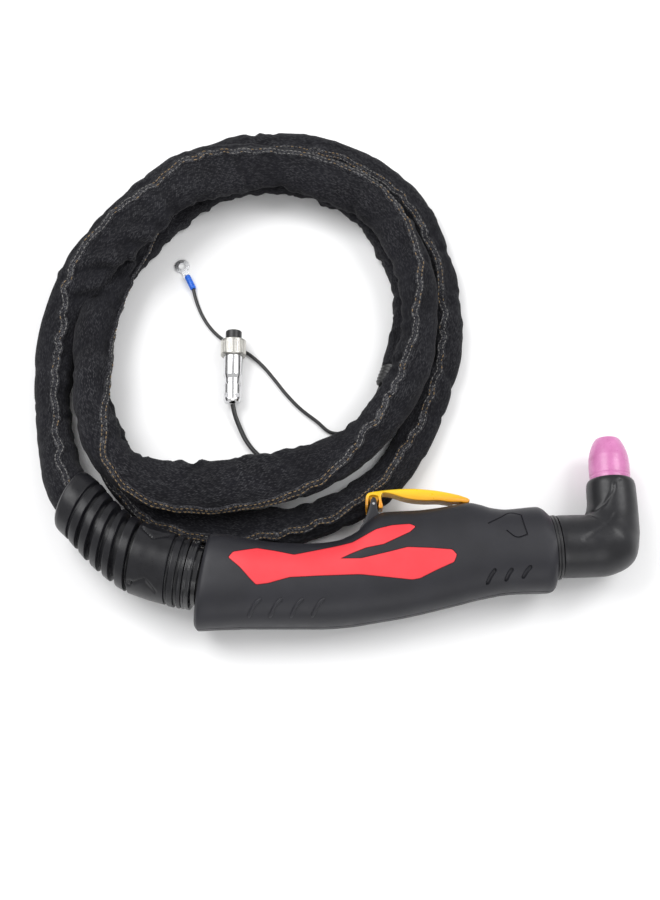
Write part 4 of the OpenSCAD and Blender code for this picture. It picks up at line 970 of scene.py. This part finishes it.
def rounded_plate(name, prof, half, levels, step=0.8, r=0.5, crown=None):
    """Plate of the given outline with rounded edges. levels are (how far in, half height) from the face down."""
    _, counts = round_poly(inset(prof, 0), r, 3, step)
    rings = []
    lv = [(i, -z) for i, z in levels] + [(i, z) for i, z in reversed(levels)]
    for d, z in lv:
        p, _ = round_poly(inset(prof, d), r, 3, step, counts)
        rings.append(np.column_stack([p, np.full(len(p), z)]))
    rings = np.array(rings)
    if crown is not None:
        rings = crown(rings)
    return loft(name, rings)


def inlay_piece(side):
    rr = 1.1
    _, counts = round_poly(inset(INLAY, 0), rr, 4, 1.1)
    levels = [(0.0, -1.0), (0.0, 0.02), (0.06, 0.16), (0.2, 0.27), (0.45, 0.32), (0.9, 0.34), (1.6, 0.35)]
    loops = []
    for d, h in levels:
        p, _ = round_poly(inset(INLAY, d), rr, 4, 1.1, counts)
        loops.append(np.column_stack([p, surf_z(p[:, 0], p[:, 1]) + h]))
    m = len(loops[0])
    verts = np.vstack(loops)
    faces = []
    for k in range(len(loops) - 1):
        for i in range(m):
            j = (i + 1) % m
            faces.append([k * m + i, k * m + j, (k + 1) * m + j, (k + 1) * m + i])
    # top field
    last = loops[-1]
    gx, gy = np.meshgrid(np.arange(-70, 90, 2.0), np.arange(-116, -66, 2.0))
    g = np.stack([gx.ravel(), gy.ravel()], 1)
    ring2 = last[:, :2]
    inside = np.zeros(len(g), bool)
    xj, yj = np.roll(ring2[:, 0], 1), np.roll(ring2[:, 1], 1)
    for (xa, ya), xb, yb in zip(ring2, xj, yj):
        hit = ((ya > g[:, 1]) != (yb > g[:, 1])) & (g[:, 0] < (xb - xa) * (g[:, 1] - ya) / ((yb - ya) or 1e-9) + xa)
        inside ^= hit
    g = g[inside]
    g = g[near_line(g, np.vstack([ring2, ring2[:1]])) > 0.9]
    pts = [Vector(v) for v in ring2.tolist()] + [Vector(v) for v in g.tolist()]
    edges = [(i, (i + 1) % m) for i in range(m)]
    v2, _, f2, ov, _, _ = geometry.delaunay_2d_cdt(pts, edges, [], 1, 1e-5)
    v2 = np.array([tuple(v) for v in v2])
    z2 = surf_z(v2[:, 0], v2[:, 1]) + 0.35
    base = len(verts)
    remap_i = {}
    for i, o in enumerate(ov):
        if o and o[0] < m:
            remap_i[i] = (len(loops) - 1) * m + o[0]
    extra = []
    for i in range(len(v2)):
        if i not in remap_i:
            remap_i[i] = base + len(extra)
            extra.append([v2[i, 0], v2[i, 1], z2[i]])
    verts = np.vstack([verts, extra])
    faces += [[remap_i[i] for i in f] for f in f2]
    # under side
    v3, _, f3, ov3, _, _ = geometry.delaunay_2d_cdt([Vector(v) for v in loops[0][:, :2].tolist()], edges, [], 1, 1e-5)
    mp = {i: o[0] for i, o in enumerate(ov3) if o}
    if len(mp) == len(v3):
        faces += [[mp[i] for i in reversed(f)] for f in f3]
    verts = np.array(verts)
    if side < 0:
        verts = verts * np.array([1, 1, -1])
    ob = obj_from("inlay_upper_soft" if side > 0 else "inlay_lower_soft", verts, faces)
    fix_normals(ob)
    finish_piece(ob, TORCH, M["inlay"], replaces=["grip_inlay_upper" if side > 0 else "grip_inlay_lower"], sharp=50)


LEVER = [[25.6, -56], [24.8, -52], [24.7, -48], [25.2, -44.6], [26.6, -42.6], [29, -41.4], [34, -40.5],
         [42, -39.6], [50, -39], [58, -38.8], [66, -39.3], [76, -40.5], [85, -42.3], [92, -44.2], [96, -46],
         [97.2, -47.6], [97, -49], [96, -49.8], [91, -49.6], [83, -49.4], [76, -48.4], [66, -48.4], [58, -47.8],
         [50, -46], [44, -43.9], [39, -42.8], [36.6, -43], [35.9, -44.5], [35.8, -54], [34.4, -54],
         [33.9, -47.5], [33.2, -45.3], [31.5, -44.6], [29, -44.6], [27.4, -45.4], [26.8, -48], [26.4, -52]]


def lever_piece():
    # the same outline, rounded by closed smooth curves between its turning points
    p = np.array(LEVER)
    cl = np.vstack([p[-2:], p, p[:3]])
    s = cumlen(cl)
    q = np.linspace(s[2], s[len(p) + 2], 240)[:-1]
    d = spline(s, cl, q)
    if np.sum(d[:, 0] * np.roll(d[:, 1], -1) - np.roll(d[:, 0], -1) * d[:, 1]) < 0:
        d = d[::-1]
    e = np.roll(d, -1, 0) - np.roll(d, 1, 0)
    e /= np.linalg.norm(e, axis=1)[:, None]
    n = np.stack([-e[:, 1], e[:, 0]], 1)          # points in
    levels = [(0.62, 5.5), (0.34, 5.42), (0.15, 5.2), (0.04, 4.85), (0, 4.4), (0, 3.2), (0, 1.6)]
    lv = [(i, -z) for i, z in levels] + [(0, 0)] + [(i, z) for i, z in reversed(levels)]
    up = np.clip(-n[:, 1], 0, 1)                    # faces away from the handle
    rings = []
    for i, z in lv:
        pt = d + n * i
        pt[:, 1] = pt[:, 1] - 1.5 * abs(z / 5.5) ** 2.6 * up * np.clip((d[:, 0] - 24) / 6, 0.2, 1)
        rings.append(np.column_stack([pt, np.full(len(pt), z)]))
    ob = loft("lever_work", rings)
    web = rounded_plate("web", [[27.2, -45.3], [28.2, -51.5], [29.2, -52.8], [31.4, -52.8], [32.4, -51.5], [34.2, -45.3], [33, -44], [28, -44]], 2.9,
                        [(0.2, 2.9), (0, 2.7)], r=0.3)
    boolean(ob, web, "UNION")
    boolean(ob, disc("pin", 1.06, (30.3, -50.8, -10), (0, 0, 1), 20, 32))
    ob.name = "lever_skin"
    finish_piece(ob, TORCH, M["lever"], body="lever", replaces=["trigger"], sharp=40)


handle_shells()
inlay_piece(1)
inlay_piece(-1)
lever_piece()

# ---------------------------------------------------------------- strain relief
BOOT = [[-97.5, -99.3, 10, 23.6], [-99, -99, 10, 24.4], [-100, -98.8, 10, 24.4], [-100.3, -98.7, 10, 22.6], [-102.2, -98.2, 10, 22.6],
        [-102.6, -98.1, 10, 24.5], [-106.6, -97, 10, 24.6], [-107, -96.8, 10, 23], [-108.4, -96.3, 10, 23], [-108.8, -96.2, 10, 24.7],
        [-122, -92, 11, 24.9], [-133, -88, 12, 25], [-133.4, -87.8, 12, 20.8], [-135.3, -86.8, 12, 20.8], [-135.8, -86.5, 12, 24.9],
        [-141, -83.4, 13, 24.8], [-141.6, -83, 13, 20.6], [-144.8, -80.6, 14, 20.5], [-145.4, -80.2, 14, 24.5],
        [-149, -77.4, 16, 24.3], [-149.6, -77, 16, 20.2], [-152.4, -74.6, 17, 20], [-153, -74.1, 17, 24],
        [-156.8, -70.6, 19, 23.7], [-157.4, -70, 20, 19.8], [-159.6, -67.8, 20, 19.6], [-160.2, -67.2, 21, 23.4],
        [-163.8, -63.2, 23, 23.1], [-164.3, -62.6, 24, 19.6], [-165.9, -60.8, 24, 19.5], [-166.4, -60.2, 25, 22.8],
        [-170, -56.2, 27, 22.6], [-170.5, -55.7, 27, 20.6], [-171.7, -54.5, 27, 20.6], [-172.2, -54, 27, 22.5],
        [-179, -48, 26, 22.2], [-181, -46.4, 25, 21.6], [-182, -45.6, 25, 20.2]]
BOOT_IN = [[-98.4, -99.2, 10, 14.6], [-106, -97.2, 10, 15.6], [-122, -92, 11, 19], [-134, -87.5, 12, 19], [-146, -79.8, 14, 18.4],
           [-157, -70.5, 19, 17.6], [-165, -61.8, 24, 16.4], [-172, -54.2, 27, 14.9], [-182.3, -45.3, 25, 14.4]]


def boot_piece():
    seg = 128
    o = soften(BOOT, 0.22, 0.2)
    o = o[::2]
    i = soften(BOOT_IN[::-1], 2.0, 1.0)
    lip = [[-182.3, -45.35, 25, 19.2], [-182.4, -45.3, 25, 17.6], [-182.4, -45.3, 25, 15.4]]
    st = np.vstack([o, lip, i])
    a = np.arange(seg) * 2 * math.pi / seg
    rings = []
    for x, y, tilt, r in st:
        t = math.radians(tilt)
        rings.append(np.stack([x + math.sin(t) * r * np.cos(a), y + math.cos(t) * r * np.cos(a), r * np.sin(a)], 1))
    rings = np.array(rings)
    # moulding marks: parting line, zigzag lines, gate mark
    flat = rings[: len(o)].reshape(-1, 3)
    ctr = np.repeat(st[: len(o), :2], seg, 0)
    nrm = flat - np.column_stack([ctr, np.zeros(len(ctr))])
    nrm /= np.linalg.norm(nrm, axis=1)[:, None]
    px = to_px(flat + np.array([0, 0, MID]))
    outer = np.repeat(st[: len(o), 3] > 23.3, seg)
    facing = (flat[:, 2] > 2) & outer
    d1 = np.minimum(near_line(px, [(131, 583), (143, 579), (146, 580), (155, 592)]), near_line(px, [(142, 527), (153, 538), (168, 535)]))
    d2 = near_line(px, [(138, 525), (150, 529), (163, 533), (177, 535)])
    d3 = np.hypot(px[:, 0] - 129, px[:, 1] - 583)
    depth = -0.95 * np.exp(-(d1 / 0.95) ** 2) + 0.6 * np.exp(-(d2 / 0.9) ** 2) - 0.8 * np.exp(-((d3 - 2.3) / 0.8) ** 2)
    flat = flat + nrm * (depth * facing)[:, None]
    # slight random unevenness over the whole outer surface
    wob = noise2(len(o), seg, 12, 16, 61).ravel() * 0.12
    flat = flat + nrm * wob[:, None]
    rings[: len(o)] = flat.reshape(len(o), seg, 3)
    v, f = shut(rings[:, ::-1])
    ob = obj_from("boot_work", v, f)
    fix_normals(ob)
    c, s = math.cos(math.radians(-10)), math.sin(math.radians(-10))
    neck = turned("neck", soften([(13, -14), (17.5, -14), (17.5, 8.2), (16.9, 9), (13, 9)], 0.5, 0.25, closed=True), 96, closed=True)
    fix_normals(neck)
    place(neck, (-88, -101, 0), (c, s, 0))
    boolean(ob, neck, "UNION")
    ob.name = "strain_boot_skin"
    finish_piece(ob, TORCH, M["boot"], replaces=["strain_boot"], sharp=38)


def boot_ring_piece():
    c, s = math.cos(math.radians(-10)), math.sin(math.radians(-10))
    prof = soften([(17.6, 0), (23.0, 0), (24.2, 0.5), (24.2, 1.6), (23.7, 2.1), (23.7, 3.0), (24.2, 3.5), (24.2, 5.3), (23.4, 5.8), (20.9, 6.1), (20.7, 9.0), (20.2, 9.3), (17.6, 9.3)], 0.18, 0.18, closed=True)
    ob = turned("boot_collar_ring", prof, 128, closed=True)
    fix_normals(ob)
    place(ob, (-88 - 9.2 * c, -101 - 9.2 * s, 0), (c, s, 0))
    finish_piece(ob, TORCH, M["gloss_ring"], replaces=["boot_collar"], sharp=40)


def neck_ring_piece():
    c, s = math.cos(math.radians(5.5)), math.sin(math.radians(5.5))
    prof = soften([(15.3, 0), (21.9, 0), (22.4, 0.4), (22.4, 1.5), (21.8, 1.75), (21.8, 2.1), (22.4, 2.35), (22.4, 3.7), (21.8, 4.2), (15.3, 4.2)], 0.15, 0.14, closed=True)
    ob = turned("neck_collar_ring", prof, 128, closed=True)
    fix_normals(ob)
    place(ob, (154.9 - 2.1 * c, -80.9 - 2.1 * s, 0), (c, s, 0))
    boolean(ob, disc("bore", 15.25, (130, -80, 0), (1, 0, 0), 40, 96))
    finish_piece(ob, TORCH, M["collar"], replaces=["neck_collar"], sharp=40)


boot_piece()
boot_ring_piece()
neck_ring_piece()

# ---------------------------------------------------------------- head and cup
ELBOW = [[157.6, -80.2, 5.5, 21.4], [159, -80.2, 4.5, 21.7], [168, -80, 2, 21.7], [176.5, -79.8, 7, 21.7],
         [184.8, -79.2, 24, 22.5], [192, -75.4, 45, 22.9], [194.9, -66.8, 66, 20.4], [196.3, -58, 82, 18.2],
         [197, -50, 89, 17.4], [197, -42, 90, 17.2], [197, -37, 90, 17], [197, -34.2, 90, 16.4], [197, -33, 90, 15.6]]


def head_piece():
    seg = 112
    e = np.array(ELBOW)
    s = np.arange(len(e)).astype(float)
    lens = np.array([1, 4, 5, 6, 8, 8, 8, 7, 7, 5, 4, 3])
    q = np.concatenate([np.linspace(i, i + 1, k + 1)[:-1] for i, k in enumerate(lens)] + [[len(e) - 1]])
    st = spline(s, e, q)
    st[:, 3] = spline(s, e[:, 3], q, mono=True)
    a = np.arange(seg) * 2 * math.pi / seg

    def ring(x, y, tilt, r):
        t = math.radians(tilt)
        return np.stack([x - math.sin(t) * r * np.cos(a), y + math.cos(t) * r * np.cos(a), r * np.sin(a)], 1)

    rings = [ring(157.35, -80.2, 5.5, 14.9), ring(157.35, -80.2, 5.5, 18), ring(157.35, -80.2, 5.5, 20.6)] + [ring(*v) for v in st]
    n_out = len(rings)
    rings += [ring(197, -32.85, 90, 15.1), ring(197, -33.3, 90, 14.62), ring(197, -40, 90, 14.55), ring(197, -47.8, 90, 14.55), ring(197, -48, 90, 14.2), ring(197, -48, 90, 10.6)]
    r = np.array(rings)
    # creases of the bend, scuffs
    flat = r[:n_out].reshape(-1, 3)
    px = to_px(flat + np.array([0, 0, MID]))
    face = flat[:, 2] > 3
    cen = np.repeat(np.vstack([[157.35, -80.2]] * 3 + [st[:, :2]]), seg, 0)
    nr = flat - np.column_stack([cen, np.zeros(len(cen))])
    nr /= np.linalg.norm(nr, axis=1)[:, None] + 1e-9
    d1 = near_line(px, [(586, 513.5), (595, 511), (605, 503), (613, 491), (614, 484)])
    d2 = near_line(px, [(585, 539), (597, 531), (611, 521), (615, 514)])
    d3 = np.hypot(px[:, 0] - 620, px[:, 1] - 479)
    d4 = np.hypot(px[:, 0] - 603, px[:, 1] - 570)
    dep = -0.85 * np.exp(-(d1 / 1.2) ** 2) - 0.7 * np.exp(-(d2 / 1.2) ** 2) - 0.35 * np.exp(-(d3 / 1.2) ** 2) - 0.3 * np.exp(-(d4 / 1.1) ** 2)
    dep = dep * face
    mirror = flat * np.array([1, 1, -1])
    pm = to_px(mirror + np.array([0, 0, MID]))
    dm = near_line(pm, [(586, 513.5), (595, 511), (605, 503), (613, 491), (614, 484)])
    dn = near_line(pm, [(585, 539), (597, 531), (611, 521), (615, 514)])
    dep += (-0.85 * np.exp(-(dm / 1.2) ** 2) - 0.7 * np.exp(-(dn / 1.2) ** 2)) * (mirror[:, 2] > 3)
    flat = flat + nr * (dep + noise2(n_out, seg, 10, 14, 71).ravel() * 0.07)[:, None]
    r[:n_out] = flat.reshape(n_out, seg, 3)
    # cap the two ends through the core's seats
    ob = loft("torch_head_skin", r)
    fix_normals(ob)
    boolean(ob, disc("core", 10.55, (197, -88.1, 0), (0, 1, 0), 70, 72))
    boolean(ob, disc("core2", 9.05, (136, -80, 0), (1, 0, 0), 61, 72))
    sp = turned("spigot", [(15, 0), (15, 24)], 96)
    place(sp, (136, -80, 0), (1, 0, 0))
    boolean(sp, disc("core3", 9.05, (134, -80, 0), (1, 0, 0), 60, 72))
    boolean(ob, sp, "UNION")
    finish_piece(ob, TORCH, M["head"], replaces=["torch_head"], sharp=42)


def cup_piece():
    R, mo = 14.2, 5.0
    prof = [(10.65, -38.5), (R - 0.3, -38.5), (R, -38), (R, -30.2), (R - 0.28, -29.9), (R - 0.28, -29.3), (R, -29.0), (R, -21), (R - 0.3, -16), (R - 1.1, -12), (R - 2.4, -8), (R - 3.9, -4.6), (R - 5.4, -2.2), (R - 6.2, -1.5), (mo + 0.5, -1.4),
            (mo, -2.2), (mo, -5.6), (9.8, -11.3), (9.8, -24.2), (10.65, -25)]
    pf = soften(prof, 0.3, 0.3, closed=True)
    pf[:, 0] = np.maximum(pf[:, 0], 4.9)
    ob = turned("shield_cup_ceramic", pf, 128, closed=True)
    fix_normals(ob)
    place(ob, (197, 0, 0), (0, 1, 0))
    finish_piece(ob, TORCH, M["cup"], body="cup", replaces=["shield_cup"], sharp=40)


head_piece()
cup_piece()

# ---------------------------------------------------------------- finishes of the CAD pieces that stay
KEEP = {
    "shell_screws": "steel", "trigger_pin": "steel", "trigger_spring": "steel", "switch_body": "dark", "switch_plunger": "white_plastic",
    "switch_wires": "wire", "head_core": "brass", "head_o_ring": "seal", "torch_tube": "copper", "swirl_ring": "swirl", "electrode": "copper",
    "electrode_emitter": "hafnium", "nozzle_tip": "copper", "union_nut": "brass", "hose_barb": "brass", "hose_ferrule": "ferrule",
    "power_hose": "hose", "tail_stem": "brass", "tail_ferrule": "ferrule", "gas_nut": "brass", "plug_insert": "dark", "plug_contacts": "gold",
    "plug_coupling_ring": "nickel", "plug_shell": "chrome", "plug_clamp_nut": "chrome", "plug_screws": "steel", "ring_terminal": "tin",
    "terminal_sleeve": "blue"}
for k, v in KEEP.items():
    if not N[k].hide_render:
        N[k].data.materials.clear()
        N[k].data.materials.append(M[v])

# ---------------------------------------------------------------- floor and light
fm, ft, fb = mat_new("floor_paint", rough=0.7, Specular_IOR_Level=0.2)
ft.links.new(ramp(ft, noise(ft, coords(ft), 3, 3), [(0.3, (0.86, 0.86, 0.865)), (0.7, (0.88, 0.88, 0.885))]), fb.inputs["Base Color"])
fl = obj_from("floor", [(-4, -4, 0), (4, -4, 0), (4, 4, 0), (-4, 4, 0)], [[0, 1, 2, 3]])
fl.location.z = -0.0002
fl.data.materials.append(fm)

world = bpy.context.scene.world or bpy.data.worlds.new("world")
bpy.context.scene.world = world
world.use_nodes = True
bg = world.node_tree.nodes["Background"]
bg.inputs[0].default_value = (1, 1, 1, 1)
bg.inputs[1].default_value = 0.7


def area(name, loc, target, size, power, size_y=None):
    d = bpy.data.lights.new(name, "AREA")
    d.energy, d.size = power, size
    if size_y:
        d.shape, d.size_y = "RECTANGLE", size_y
    o = bpy.data.objects.new(name, d)
    bpy.context.scene.collection.objects.link(o)
    o.location = loc
    o.rotation_euler = (Vector(target) - Vector(loc)).to_track_quat("-Z", "Y").to_euler()
    return o


area("key", (-0.75, 0.55, 1.15), (0, 0.1, 0), 0.9, 13)
area("fill", (0.85, 0.35, 1.1), (0, 0.1, 0), 0.7, 8)
area("front", (0.1, -1.1, 0.8), (0, 0, 0), 0.8, 4)
